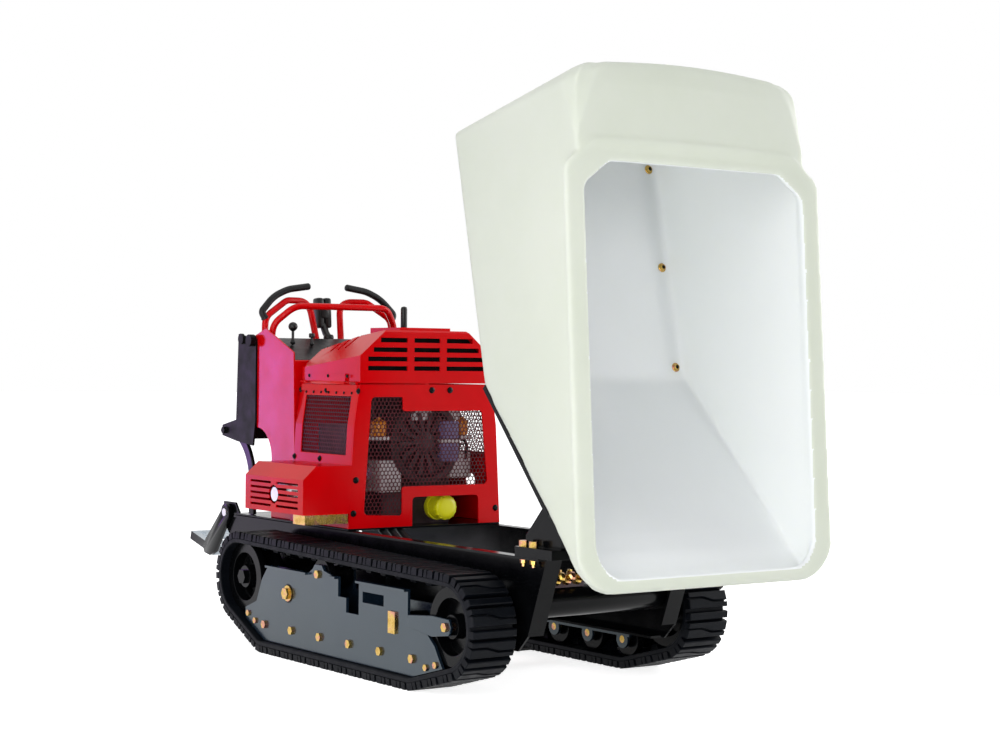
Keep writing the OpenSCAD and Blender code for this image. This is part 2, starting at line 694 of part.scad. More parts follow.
// Slope plate with the hinge lugs and the cylinder lug
module bucket_plate() color(c_black) in_tub() {
    u0 = floor_len + 14;
    u1 = slope_u - 24;
    lu = pivot_u + lug_du;
    lw = pivot_w + lug_dw;
    difference() {
        union() {
            difference() {
                slab([[u0, plate_w(u0)], [u1, plate_w(u1)], [u1, slope_w(u1)], [u0, slope_w(u0)]], -302, 302);
                both() box([pivot_u - 90, ear_y - 0.8, plate_w(pivot_u - 90) - 30],
                    [pivot_u + 60, ear_y + ear_t + 3, 330]);
            }
            both() {
                ycyl(pivot_u, pivot_w, 20, lug_y - lug_t, lug_y);
                slab([
                    [pivot_u - 60, plate_w(pivot_u - 60) + 2], [pivot_u - 20, pivot_w - 10],
                    [pivot_u + 16, pivot_w - 12], [pivot_u + 60, plate_w(pivot_u + 60) + 2]
                ], lug_y - lug_t, lug_y);
            }
            ycyl(lu, lw, 18, -10, 10);
            slab([
                [lu - 18, lw], [lu + 18, lw], [lu + 40, plate_w(lu + 40) + 2], [lu - 40, plate_w(lu - 40) + 2]
            ], -10, 10);
        }
        both() ycyl(pivot_u, pivot_w, pin_r + fit, lug_y - 40, lug_y + 10);
        box([u0 - 10, -44, -60], [lu - 52, 44, 330]);
    }
}

// Hydraulic cylinder, s runs along it from the base pin
module in_cyl() place() translate([base_x, 0, base_z]) rotate([0, 90 - cyl_a, 0]) children();
barrel_l = cyl_short - 112;
rod_r = 16;
module cylinder_bracket() color(c_black) place() {
    for (s = [-1, 1])
        slab([
            [base_x - 40, base_z - 52], [base_x + 40, base_z - 52],
            [base_x + 22, base_z + 16], [base_x - 22, base_z + 16]
        ], s * 40 - 6, s * 40 + 6);
    ycyl(base_x, base_z, pin_r, -46, 46);
}
module cylinder_barrel() color(c_black) in_cyl()
    difference() {
        union() {
            translate([0, 0, 18]) cylinder(r = 27, h = barrel_l - 18);
            translate([0, 0, barrel_l - 34]) cylinder(r = 30, h = 34);
            translate([0, -32, 0]) rotate([-90, 0, 0]) cylinder(r = 24, h = 64);
        }
        translate([0, -40, 0]) rotate([-90, 0, 0]) cylinder(r = pin_r + fit, h = 80);
        translate([0, 0, 60]) cylinder(r = rod_r + fit, h = barrel_l);
    }
module cylinder_rod() color(c_steel) in_cyl()
    difference() {
        union() {
            translate([0, 0, barrel_l - 150]) cylinder(r = rod_r, h = cyl_l - barrel_l + 150 - 74);
            translate([-18, -22, cyl_l - 84]) cube([36, 44, 84]);
            translate([0, -22, cyl_l]) rotate([-90, 0, 0]) cylinder(r = 18, h = 44);
        }
        translate([-30, -10.6, cyl_l - 60]) cube([60, 21.2, 100]);
        translate([0, -30, cyl_l]) rotate([-90, 0, 0]) cylinder(r = 9, h = 60);
    }

// Front panel with the mesh window and the filter opening
win_pts = [
    [-206, deck_z + 36], [-80, deck_z + 31], [-80, deck_z + 112], [212, deck_z + 112],
    [190, seam_z - 78], [-80, seam_z - 78], [-80, seam_z - 38], [-184, seam_z - 38]
];
module front_panel() color(c_red) place()
    difference() {
        bar([
            [-body_low_half, panel_low_z], [body_low_half, panel_low_z], [body_mid_half, seam_z - 120],
            [body_top_half, seam_z - 3], [-body_top_half, seam_z - 3], [-body_mid_half, seam_z - 120]
        ], body_x - sheet_t, body_x);
        bar(rounded(win_pts, [14, 8, 8, 14, 10, 8, 8, 14]), body_x - 20, body_x + 10);
        bar(rounded([
            [-46, panel_low_z - 10], [182, panel_low_z - 10], [180, deck_z + 82], [-46, deck_z + 82]
        ], [0, 0, 12, 12]), body_x - 20, body_x + 10);
    }
// Side panels with screen windows
side_x0 = body_rear_x + 40;
side_x1 = body_x - 38;
module side_panel() {
    zs = [deck_z, seam_z - 120, seam_z - 3];
    p = concat(
        [for (z = zs) [body_half(z), z]],
        [for (k = [2 : -1 : 0]) [body_half(zs[k]) - sheet_t, zs[k]]]
    );
    difference() {
        bar(p, body_rear_x, body_x - sheet_t);
        box([side_x0, 100, seam_z - 200], [side_x1, 300, seam_z - 37]);
        ycyl(guard_x0 + 190, guard_low_z + 70, 24, 200, 300);
    }
}
module side_panels() color(c_red) place() both() side_panel();
// Coarse mesh behind the windows
mesh_p = 30;
mesh_t = 2;
module mesh_screens() color(c_black) place() {
    difference() {
        union() {
            bar([
                [-215, deck_z + 27], [-80, deck_z + 22], [-80, seam_z - 29], [-193, seam_z - 29]
            ], body_x - sheet_t - mesh_t, body_x - sheet_t);
            bar([
                [-79.7, deck_z + 103], [222, deck_z + 103], [198, seam_z - 69], [-79.7, seam_z - 69]
            ], body_x - sheet_t - mesh_t, body_x - sheet_t);
        }
        for (i = [-8 : 8]) for (j = [0 : 14])
            let (y = (i + (j % 2) / 2) * mesh_p, z = deck_z + 30 + j * mesh_p * 0.866)
            xcyl(y, z, 11, body_x - 20, body_x + 5, 6);
    }
    both()
        difference() {
            bar([
                [body_half(seam_z - 30) - sheet_t, seam_z - 30],
                [body_half(seam_z - 30) - sheet_t - mesh_t, seam_z - 30],
                [body_half(seam_z - 120) - sheet_t - mesh_t, seam_z - 120],
                [body_half(seam_z - 207) - sheet_t - mesh_t, seam_z - 207],
                [body_half(seam_z - 207) - sheet_t, seam_z - 207],
                [body_half(seam_z - 120) - sheet_t, seam_z - 120]
            ], side_x0 - 7, side_x1 + 7);
            for (i = [0 : 8]) for (j = [0 : 6])
                let (x = side_x0 + 8 + (i + (j % 2) / 2) * mesh_p, z = seam_z - 200 + j * mesh_p * 0.866)
                ycyl(x, z, 11, 150, 300, 6);
        }
}
// Hood: box with bevelled top edges that fall to the rear
hood_low = seam_z;
hood_fall = 6.5;
hood_rear_x = body_rear_x + 6;
module hood_solid(d) {
    h = body_top_half - d;
    b = 86;
    intersection() {
        slab([
            [hood_rear_x + d, hood_low - (d > 0 ? 20 : 0)], [body_x - d, hood_low - (d > 0 ? 20 : 0)],
            [body_x - d, hood_z - 6 - d], [body_x - 8 - d, hood_z - d], [body_x - 80, hood_z - 2 - d],
            [hood_rear_x + d, hood_z - 56 - d]
        ], -300, 300);
        translate([body_x, 0, hood_z]) rotate([0, -hood_fall, 0])
            bar([
                [-h, -260], [h, -260], [h, -72 - d * 0.4], [h - b, -d], [-h + b, -d], [-h, -72 - d * 0.4]
            ], -400, 60);
    }
}
slot_rows = [[29, 155], [56, 178], [82, 196], [108, 196]];
module hood() color(c_red) place() {
    difference() {
        union() {
            hood_solid(0);
            translate([body_x - 170, -85, hood_z - 8]) cube([158, 170, 15]);
        }
        hood_solid(sheet_t);
        for (r = slot_rows) {
            z = hood_z - r[0];
            both() box([body_x - 20, 66, z - 6.4], [body_x + 20, r[1], z + 6.4]);
            box([body_x - 20, -44, z - 6.4], [body_x + 20, 44, z + 6.4]);
        }
        both() for (k = [0 : 2])
            translate([body_x - 230 + k * 40, 130, hood_z - 120]) rotate([0, 0, 20]) cube([14, 46, 200]);
        for (x = [[body_rear_x - 50, body_rear_x + 70], [body_x - 70, body_x + 50]])
            xcyl(-hinge_y, seam_z, hinge_r + 0.6, x[0], x[1]);
    }
    difference() {
        union() {
            xcyl(-hinge_y, seam_z, hinge_r, body_rear_x + 70.5, body_x - 70.5);
            box([body_rear_x + 70.5, -hinge_y - 1, seam_z + 3],
                [body_x - 70.5, -body_top_half + 1, seam_z + 26]);
        }
        xcyl(-hinge_y, seam_z, 2 + fit, body_rear_x, body_x);
    }
}
// Hinge of the hood: end knuckles, pin and lower leaf
hinge_y = body_top_half + 5.5;
hinge_r = 5;
module hood_hinge() color(c_zinc) place() {
    xcyl(-hinge_y, seam_z, 2, body_rear_x + 12, body_x - 12);
    for (x = [body_rear_x + 10, body_x - 70]) xcyl(-hinge_y, seam_z, hinge_r, x, x + 60);
    leaf(body_rear_x + 10, body_x - 10, seam_z - 24, seam_z - 6);
    for (x = [body_rear_x + 10, body_x - 70]) leaf(x, x + 60, seam_z - 8, seam_z - 3);
}
module leaf(x0, x1, z0, z1)
    bar([
        [-body_half(z0) - 3.1, z0], [-body_half(z0) - 0.1, z0],
        [-body_half(z1) - 0.1, z1], [-body_half(z1) - 3.1, z1]
    ], x0, x1);
// Muffler guard on the right side
guard_x0 = body_rear_x - 2;
guard_x1 = body_x;
guard_low_z = deck_z + 42;
module guard_pts_bar(d, x0, x1)
    bar([
        [-body_half(guard_z) - 0.2, guard_z - d], [-guard_y + 41 + d * 0.4, guard_z - d],
        [-guard_y + d, guard_z - 37 - d * 0.4], [-guard_y + d, guard_low_z + d],
        [-body_half(guard_low_z) - 0.2, guard_low_z + d]
    ], x0, x1);
module muffler_guard() color(c_red) place()
    difference() {
        guard_pts_bar(0, guard_x0, guard_x1);
        guard_pts_bar(sheet_t, guard_x0 + sheet_t, guard_x1 - sheet_t);
        box([guard_x0 + 10, -body_half(guard_low_z) - 20, guard_low_z + 10],
            [guard_x1 - 10, -200, guard_z - 10]);
        for (k = [0 : 4]) {
            z = guard_low_z + 14 + k * 16;
            box([guard_x0 + 30, -guard_y - 20, z], [guard_x0 + 148, -guard_y + 20, z + 6.5]);
            box([guard_x0 + 178, -guard_y - 20, z], [guard_x0 + 300, -guard_y + 20, z + 6.5]);
        }
        for (x = [guard_x0 + 60, guard_x0 + 190]) for (k = [0 : 1])
            box([x, -guard_y + 56 + k * 30, guard_z - 20], [x + 110, -guard_y + 66 + k * 30, guard_z + 20]);
        ycyl(guard_x0 + 164, guard_low_z + 49, 26, -guard_y - 20, -guard_y + 20);
    }
// Muffler with its outlet, carried by a stub from the engine
module muffler() color(c_steel) place() {
    xcyl(-guard_y + 78, guard_low_z + 64, 48, guard_x0 + 50, guard_x1 - 60);
    ycyl(guard_x0 + 164, guard_low_z + 49, 20, -guard_y + 3, -guard_y + 60);
    rod([guard_x0 + 190, -guard_y + 80, guard_low_z + 70], [guard_x0 + 190, -100, guard_low_z + 70], 19);
}
// Engine: crankcase, two cylinders, fan housing, air cleaner
module engine() color(c_plate) place()
    difference() {
        union() {
            box([-60, -100, deck_z], [150, 130, 560]);
            box([-50, -190, 520], [110, -60, 640]);
            box([-50, 70, 520], [110, 190, 640]);
            xcyl(20, 590, 112, 60, 180);
            box([-40, -90, 620], [90, 120, 735]);
        }
        xcyl(20, 590, 88, 160, 200);
    }
module oil_filter() color(c_yellow) place() {
    xcyl(82, deck_z + 47, 34, 150, body_x - 18);
    xcyl(82, deck_z + 47, 38, 150, 166);
}

// Console shell: sides, back, front, open over the panel
con_front = body_rear_x - 14;
notch_c = [-330, 530];
notch_r = 90;
con_out = concat(
    [
        [con_front + 10, deck_z], [con_front + 10, 534], [con_front, console_z - 71],
        [-280, console_z], [-354, console_z - 24]
    ],
    [for (a = [90 : -10 : 0]) notch_c + notch_r * [cos(a), sin(a)]],
    [[notch_c[0] + notch_r, deck_z]]
);
module console() color(c_red) place()
    difference() {
        slab(con_out, -console_half, console_half);
        slab(inset(con_out, sheet_t), -console_half + sheet_t, console_half - sheet_t);
        slab([
            [-420, panel_z(-420)], [-280, panel_z(-280)], [60, panel_z(60)], [60, 1100], [-420, 1100]
        ], -console_half + sheet_t, console_half - sheet_t);
    }
// Control panel between the console sides
module control_panel() color(c_black) place() {
    x0 = -346;
    x1 = con_front - sheet_t - 0.4;
    w = console_half - sheet_t - 0.1;
    slab([
        [x0, panel_z(x0) - 6], [-280, panel_z(-280) - 6], [x1, panel_z(x1) - 6],
        [x1, panel_z(x1)], [-280, panel_z(-280)], [x0, panel_z(x0)]
    ], -w, w);
}
// Red handle tubes: front hoop and two inner hoops, cut to the panel
module handle_cage() color(c_red) place()
    difference() {
        union() {
            tube([
                [-292, -216, 860], [-285, -212, 930], [-247, -160, 984],
                [-245, 160, 984], [-285, 212, 930], [-292, 216, 860]
            ], tube_r);
            both() {
                tube([
                    [-318, 222, 850], [-318, 222, 950], [-334, 140, 1003], [-352, 54, 1003], [-313, 40, 850]
                ], tube_r);
                tube([[-318, 222, 950], grip_p0, grip_ps], tube_r - 2);
            }
        }
        slab([
            [-500, panel_z(-500)], [-280, panel_z(-280)], [0, panel_z(0)], [0, 700], [-500, 700]
        ], -300, 300);
    }
// Grip path: end of the red stub, start and first bend of the grip
grip_p0 = [-320, 234, 966];
grip_p1 = [-328, 188, 1014];
grip_ps = grip_p0 + 0.2 * (grip_p1 - grip_p0);
// Black hand grips on the ends of the red stubs
module hand_grips() color(c_black) place() both()
    tube([grip_ps, grip_p1, [-330, 138, 1036], [-330, 70, 1046]], grip_r);
// Height of a ball centre above the panel so that it just clears it
function ball_h(r) = (r + 0.3) / cos(21.4);
module traction_lever() color(c_black) place() {
    z = panel_z(trac_x) + (16 + 0.3) / cos(18);
    translate([trac_x, 0, z]) sphere(r = 16);
    rod([trac_x, 0, z], [-354, 0, 930], 11);
    translate([-358, 0, 920]) rotate([0, -4, 0]) translate([-18, -26, 0]) cube([36, 52, 96]);
}
trac_x = -322;
module throttle_lever() color(c_black) place() translate([-224, -180, panel_z(-224) + ball_h(8)]) {
    sphere(r = 8);
    cylinder(r = 4, h = 44);
    translate([0, 0, 46]) sphere(r = 14);
}
module choke_lever() color(c_black) place() translate([-216, -120, panel_z(-216) + ball_h(7)]) {
    sphere(r = 7);
    cylinder(r = 4, h = 26);
    translate([0, 0, 20]) cylinder(r = 9, h = 12);
}
module brake_lever() color(c_black) place() translate([-209, 200, panel_z(-209) + ball_h(9)]) {
    sphere(r = 9);
    cylinder(r = 6, h = 58);
    translate([0, 0, 50]) cylinder(r = 10, h = 70);
}

// Thigh pad with a crowned face and drawn-in sides, seated on its back plate
pad_x = -364;
module thigh_pad() color(c_black) place() {
    r = 20;
    hull() {
        for (s = [-1, 1]) {
            translate([pad_x - r, s * 212, 880]) sphere(r = r, $fn = 24);
            translate([pad_x - r, s * 212, 612]) sphere(r = r, $fn = 24);
            translate([pad_x - pad_t + r, s * 196, 872]) sphere(r = r, $fn = 24);
            translate([pad_x - pad_t * 0.55, s * 196, 640]) sphere(r = r, $fn = 24);
        }
        translate([pad_x - pad_t + r - 10, 0, 850]) sphere(r = r, $fn = 24);
        translate([pad_x - pad_t * 0.8 + 4, 0, 740]) sphere(r = r, $fn = 24);
    }
}
// Pad brackets: side plates, back plate, pivots, strap and star knob
module pad_brackets() color(c_black) place() {
    box([pad_x, -console_half - 3, 585], [pad_x + 8, console_half + 3, 888]);
    both() pad_side();
}
module pad_side() {
    slab([
        [-330, 884], [-440, 900], [-452, 640], [-540, 622], [-540, 590], [-445, 575], [-345, 565], [-330, 640]
    ], console_half, console_half + 6);
    ycyl(-413, 885, 16, console_half + 6 - eps, console_half + 14);
    ycyl(-520, 606, 11, console_half + 6 - eps, console_half + 16, 6);
    slab(concat(
        [for (a = [90 : -10 : 0]) [-520, 452] + 166 * [cos(a), sin(a)]],
        [[-354, deck_z], [-366, deck_z]],
        [for (a = [0 : 10 : 90]) [-520, 452] + 154 * [cos(a), sin(a)]]
    ), console_half - 8, console_half);
    ycyl(-345, 880, 18, console_half + 6 - eps, console_half + 24, 12);
}
// Platform: arms on the pivots, cross bar and tilted tread
module platform() color(c_steel) place() {
    y = rail_y + 2;
    e = [step_x + step_drop[0], step_z + step_drop[1]];
    both()
        difference() {
            union() {
                ycyl(step_x, step_z, 26, y, y + 12);
                slab([
                    [step_x - 24, step_z + 6], e + [-30, 34], e + [-44, 8], e + [-36, -8], e + [0, -14],
                    e + [34, 0], [step_x + 24, step_z - 8]
                ], y, y + 12);
            }
            ycyl(step_x, step_z, pin_r + fit, y - 10, y + 30);
        }
    translate([e[0], 0, e[1]]) rotate([0, tread_tilt, 0]) {
        difference() {
            translate([-tread_len, -y - eps, -tread_dn]) cube([tread_len + 4, 2 * y + 2 * eps, tread_dn + 12]);
            translate([-tread_len + 3, -y + 6, -20]) cube([tread_len - 8, 2 * y - 12, 30]);
            for (i = [0 : 3]) for (j = [-5 : 5])
                translate([-tread_len + 26 + i * 36, j * 42, 0]) cylinder(r = 11, h = 40);
        }
    }
}

track_right();
track_left();
sprocket_right();
sprocket_left();
idler_right();
idler_left();
top_roller_right();
top_roller_left();
road_wheel_right_1();
road_wheel_right_2();
road_wheel_right_3();
road_wheel_right_4();
road_wheel_right_5();
road_wheel_right_6();
road_wheel_left_1();
road_wheel_left_2();
road_wheel_left_3();
road_wheel_left_4();
road_wheel_left_5();
road_wheel_left_6();
track_frame_right();
track_frame_left();
idler_arms();
wheel_axles();
drive_motors();
cross_tubes();
chassis_rail_right();
chassis_rail_left();
cross_beams();
engine_deck();
pivot_ears();
pivot_pins();
zinc_hardware();
tub();
tub_bolts();
bucket_rails();
bucket_plate();
cylinder_bracket();
cylinder_barrel();
cylinder_rod();
front_panel();
side_panels();
mesh_screens();
hood();
hood_hinge();
muffler_guard();
muffler();
engine();
oil_filter();
console();
control_panel();
handle_cage();
hand_grips();
traction_lever();
throttle_lever();
choke_lever();
brake_lever();
thigh_pad();
pad_brackets();
platform();
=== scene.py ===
import bpy, bmesh, math
import numpy as np
from mathutils import Vector, Matrix


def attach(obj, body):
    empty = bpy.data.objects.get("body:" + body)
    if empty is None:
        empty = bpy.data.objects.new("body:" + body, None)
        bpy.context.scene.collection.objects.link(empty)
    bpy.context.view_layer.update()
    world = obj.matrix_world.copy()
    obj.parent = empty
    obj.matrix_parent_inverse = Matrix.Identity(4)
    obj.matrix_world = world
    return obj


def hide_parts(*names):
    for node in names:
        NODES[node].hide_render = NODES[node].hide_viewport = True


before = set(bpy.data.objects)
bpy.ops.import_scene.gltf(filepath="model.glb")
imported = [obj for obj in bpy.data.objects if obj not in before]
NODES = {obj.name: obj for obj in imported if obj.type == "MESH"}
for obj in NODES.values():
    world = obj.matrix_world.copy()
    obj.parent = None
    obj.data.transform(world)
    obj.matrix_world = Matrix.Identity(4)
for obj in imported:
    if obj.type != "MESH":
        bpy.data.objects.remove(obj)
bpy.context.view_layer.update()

scene = bpy.context.scene

# Places are given in the wheel frame: millimetres from the ground below the rear road wheel,
# x forward, y to the left, z up. X_MID is the middle of the model in that frame.
X_MID = 339.267
FRONT, RIGHT, TOP = Vector((1, 0, 0)), Vector((0, -1, 0)), Vector((0, 0, 1))
SIDES = (-1, 1)


def point(x, y, z):
    """Point in the wheel frame, millimetres, as a point of the model in metres."""
    return Vector(((x - X_MID) / 1000, y / 1000, z / 1000))


# Camera
CAM_AZIMUTH, CAM_ELEVATION, CAM_ROLL = (math.radians(a) for a in (54.54570, 0.36612, 0.56811))
CAM_AIM = point(582.7616, 0, 787.8269)
CAM_DISTANCE = 5.32283
PHOTO_WIDTH_PX, FOCAL_PX = 1000, 1983.243
SENSOR_MM = 36


def make_camera():
    level = math.cos(CAM_ELEVATION)
    back = Vector((math.sin(CAM_AZIMUTH) * level, -math.cos(CAM_AZIMUTH) * level, math.sin(CAM_ELEVATION)))
    right = Vector((math.cos(CAM_AZIMUTH), math.sin(CAM_AZIMUTH), 0))
    up = back.cross(right)
    cam_r = right * math.cos(CAM_ROLL) + up * math.sin(CAM_ROLL)
    cam_u = up * math.cos(CAM_ROLL) - right * math.sin(CAM_ROLL)
    at = CAM_AIM + back * CAM_DISTANCE
    cam = bpy.data.objects.new("camera", bpy.data.cameras.new("camera"))
    scene.collection.objects.link(cam)
    cam.data.sensor_fit = "HORIZONTAL"
    cam.data.sensor_width = SENSOR_MM
    cam.data.lens = SENSOR_MM * FOCAL_PX / PHOTO_WIDTH_PX
    cam.data.clip_start = 0.05
    cam.matrix_world = Matrix((
        (cam_r.x, cam_u.x, back.x, at.x),
        (cam_r.y, cam_u.y, back.y, at.y),
        (cam_r.z, cam_u.z, back.z, at.z),
        (0, 0, 0, 1)))
    scene.camera = cam
    scene.view_settings.view_transform = "Standard"


make_camera()


# Materials
def linear(c):
    """Screen colour as a linear one."""
    return tuple(((v + 0.055) / 1.055) ** 2.4 if v > 0.04045 else v / 12.92 for v in c) + (1,)


class Nodes:
    """Small helper that builds one node material."""

    def __init__(self, name):
        self.material = bpy.data.materials.new(name)
        self.material.use_nodes = True
        self.tree = self.material.node_tree
        self.bsdf = self.tree.nodes["Principled BSDF"]
        self.place = self.tree.nodes.new("ShaderNodeTexCoord").outputs["Object"]

    def new(self, kind):
        return self.tree.nodes.new(kind)

    def link(self, a, b):
        self.tree.links.new(a, b)

    def noise(self, scale, detail, rough=0.55, stretch=None):
        n = self.new("ShaderNodeTexNoise")
        n.inputs["Scale"].default_value = scale
        n.inputs["Detail"].default_value = detail
        n.inputs["Roughness"].default_value = rough
        if stretch:
            k = self.new("ShaderNodeMapping")
            k.inputs["Scale"].default_value = stretch
            self.link(self.place, k.inputs["Vector"])
            self.link(k.outputs["Vector"], n.inputs["Vector"])
        else:
            self.link(self.place, n.inputs["Vector"])
        return n.outputs["Fac"]

    def ramp(self, fac, stops):
        r = self.new("ShaderNodeValToRGB")
        e = r.color_ramp.elements
        while len(e) < len(stops):
            e.new(0.5)
        for k, (p, c) in zip(e, stops):
            k.position = p
            k.color = c
        self.link(fac, r.inputs["Fac"])
        return r.outputs["Color"]

    def span(self, fac, lo, hi, a, b):
        r = self.new("ShaderNodeMapRange")
        for k, v in zip(("From Min", "From Max", "To Min", "To Max"), (lo, hi, a, b)):
            r.inputs[k].default_value = v
        self.link(fac, r.inputs["Value"])
        return r.outputs["Result"]

    def bump(self, height, strength, distance):
        """Bump on top of the bump that is there already."""
        b = self.new("ShaderNodeBump")
        b.inputs["Strength"].default_value = strength
        b.inputs["Distance"].default_value = distance
        self.link(height, b.inputs["Height"])
        old = self.bsdf.inputs["Normal"].links
        if old:
            self.link(old[0].from_socket, b.inputs["Normal"])
        self.link(b.outputs["Normal"], self.bsdf.inputs["Normal"])


def material(name, stops, scale, rough, metal=0.0, fine=300.0, bump=0.1, depth=0.0004, coat=0.0,
             stretch=None, wave=None, spec=None, sheen=0.0, scatter=0.0, tint=None):
    """Colour from noise stops, roughness from a second noise, bump from a fine one and a slow wave."""
    n = Nodes(name)
    b = n.bsdf
    b.inputs["Metallic"].default_value = metal
    b.inputs["Coat Weight"].default_value = coat
    b.inputs["Coat Roughness"].default_value = 0.12
    b.inputs["Sheen Weight"].default_value = sheen
    if scatter:
        b.inputs["Subsurface Weight"].default_value = scatter
        b.inputs["Subsurface Radius"].default_value = (1.0, 1.0, 0.9)
        b.inputs["Subsurface Scale"].default_value = 0.025
    if spec is not None:
        b.inputs["Specular IOR Level"].default_value = spec
    if tint:
        b.inputs["Specular Tint"].default_value = (*tint, 1)
    colour = n.ramp(n.noise(scale, 4, 0.6, stretch), [(p, linear(c)) for p, c in stops])
    n.link(colour, b.inputs["Base Color"])
    n.link(n.span(n.noise(scale * 2.3, 3), 0.3, 0.7, *rough), b.inputs["Roughness"])
    n.bump(n.noise(fine, 2, 0.5, stretch), bump, depth)
    if wave:
        n.bump(n.noise(wave[0], 1), wave[1], wave[2])
    return n.material


RED = [(0.35, (0.82, 0.0, 0.02)), (0.65, (0.86, 0.0, 0.035))]
LOOKS = {
    "red_paint": dict(stops=RED, scale=5, rough=(0.15, 0.22), fine=900, bump=0.03, depth=0.0002,
                      spec=0.13, wave=(30, 0.03, 0.001)),
    "black_paint": dict(stops=[(0.35, (0.018, 0.021, 0.027)), (0.7, (0.038, 0.042, 0.05))], scale=9,
                        rough=(0.14, 0.22), fine=700, bump=0.05, depth=0.0002, spec=0.11,
                        wave=(30, 0.05, 0.001)),
    "frame_paint": dict(stops=[(0.3, (0.07, 0.12, 0.17)), (0.7, (0.10, 0.15, 0.205))], scale=6,
                        rough=(0.17, 0.26), fine=600, bump=0.04, depth=0.0002, spec=0.66,
                        wave=(20, 0.04, 0.001), tint=(0.78, 0.95, 1.0)),
    "track_rubber": dict(stops=[(0.3, (0.018, 0.027, 0.045)), (0.7, (0.04, 0.052, 0.075))], scale=14,
                         rough=(0.40, 0.56), fine=500, bump=0.22, depth=0.0004, spec=0.09),
    "white_poly": dict(stops=[(0.30, (0.845, 0.865, 0.81)), (0.72, (0.865, 0.88, 0.835))], scale=3,
                       rough=(0.34, 0.44), fine=420, bump=0.04, depth=0.0003, spec=0.03,
                       wave=(7, 0.05, 0.004), scatter=0.6),
    "zinc": dict(stops=[(0.25, (0.68, 0.52, 0.20)), (0.5, (0.78, 0.66, 0.36)), (0.62, (0.77, 0.52, 0.46)),
                        (0.8, (0.62, 0.58, 0.30))],
                 scale=40, rough=(0.20, 0.32), metal=1.0, fine=800, bump=0.05),
    "bright_steel": dict(stops=[(0.3, (0.72, 0.73, 0.74)), (0.7, (0.82, 0.82, 0.83))], scale=20,
                         rough=(0.12, 0.22), metal=1.0, fine=900, bump=0.03, stretch=(1, 8, 1)),
    "galvanised": dict(stops=[(0.3, (0.62, 0.66, 0.69)), (0.7, (0.78, 0.81, 0.84))], scale=34,
                       rough=(0.28, 0.45), metal=0.9, fine=220, bump=0.06),
    "mesh_steel": dict(stops=[(0.3, (0.27, 0.03, 0.075)), (0.7, (0.36, 0.06, 0.11))], scale=20,
                       rough=(0.35, 0.5), fine=600, bump=0.05, spec=0.3),
    # dark grey cast metal tinted maroon; the maroon is a painted reflection of the red panels round the
    # engine bay
    "cast_grey": dict(stops=[(0.3, (0.13, 0.07, 0.095)), (0.7, (0.27, 0.19, 0.22))], scale=16,
                      rough=(0.45, 0.65), metal=0.2, fine=260, bump=0.2, depth=0.0006),
    "filter_yellow": dict(stops=[(0.3, (0.95, 0.93, 0.08)), (0.7, (0.98, 0.965, 0.16))], scale=12,
                          rough=(0.28, 0.38), fine=700, bump=0.04),
    "black_plastic": dict(stops=[(0.3, (0.03, 0.03, 0.036)), (0.7, (0.06, 0.06, 0.066))], scale=20,
                          rough=(0.28, 0.42), fine=700, bump=0.12, depth=0.0003, spec=0.3),
    "grip_rubber": dict(stops=[(0.3, (0.022, 0.024, 0.03)), (0.7, (0.05, 0.052, 0.06))], scale=22,
                        rough=(0.36, 0.52), fine=900, bump=0.15, depth=0.0003, spec=0.25),
    "pad_vinyl": dict(stops=[(0.3, (0.03, 0.033, 0.04)), (0.7, (0.06, 0.064, 0.072))], scale=12,
                      rough=(0.36, 0.48), fine=380, bump=0.3, depth=0.0005, sheen=0.05, spec=0.3,
                      wave=(16, 0.08, 0.003)),
    # paler copy of white_poly for the inside of the tub: painted light in its shade
    "poly_inside_painted_light": dict(stops=[(0.25, (0.94, 0.955, 0.95)), (0.75, (0.955, 0.967, 0.965))], scale=3,
                        rough=(0.29, 0.34), fine=420, bump=0.03, depth=0.0003, spec=0.3,
                        wave=(7, 0.05, 0.004), scatter=0.5),
    "black_matte": dict(stops=[(0.3, (0.02, 0.022, 0.028)), (0.7, (0.04, 0.042, 0.05))], scale=12,
                        rough=(0.34, 0.48), fine=600, bump=0.08, spec=0.1),
    "console_paint": dict(stops=RED, scale=5, rough=(0.17, 0.24), fine=900, bump=0.03, depth=0.0002,
                          spec=0.26, wave=(30, 0.03, 0.001)),
    "amber": dict(stops=[(0.3, (0.92, 0.50, 0.06)), (0.7, (0.98, 0.64, 0.14))], scale=30,
                  rough=(0.25, 0.4), coat=0.3),
    # dark sheet behind the hood slots: painted shade inside the hood
    "slot_shade_black": dict(stops=[(0.3, (0.03, 0.02, 0.022)), (0.7, (0.06, 0.04, 0.045))], scale=20,
                  rough=(0.7, 0.9), spec=0.1),
    # engine covers made pale to stand in for light in the shaded engine bay: painted light
    "pale_cast_painted_light": dict(stops=[(0.3, (0.82, 0.79, 0.80)), (0.7, (0.93, 0.90, 0.91))], scale=18,
                      rough=(0.35, 0.5), metal=0.1, fine=260, bump=0.1),
    "violet_cover": dict(stops=[(0.3, (0.46, 0.42, 0.60)), (0.7, (0.58, 0.54, 0.72))], scale=18,
                         rough=(0.3, 0.45), fine=300, bump=0.1),
}
MAT = {name: material(name, **look) for name, look in LOOKS.items()}

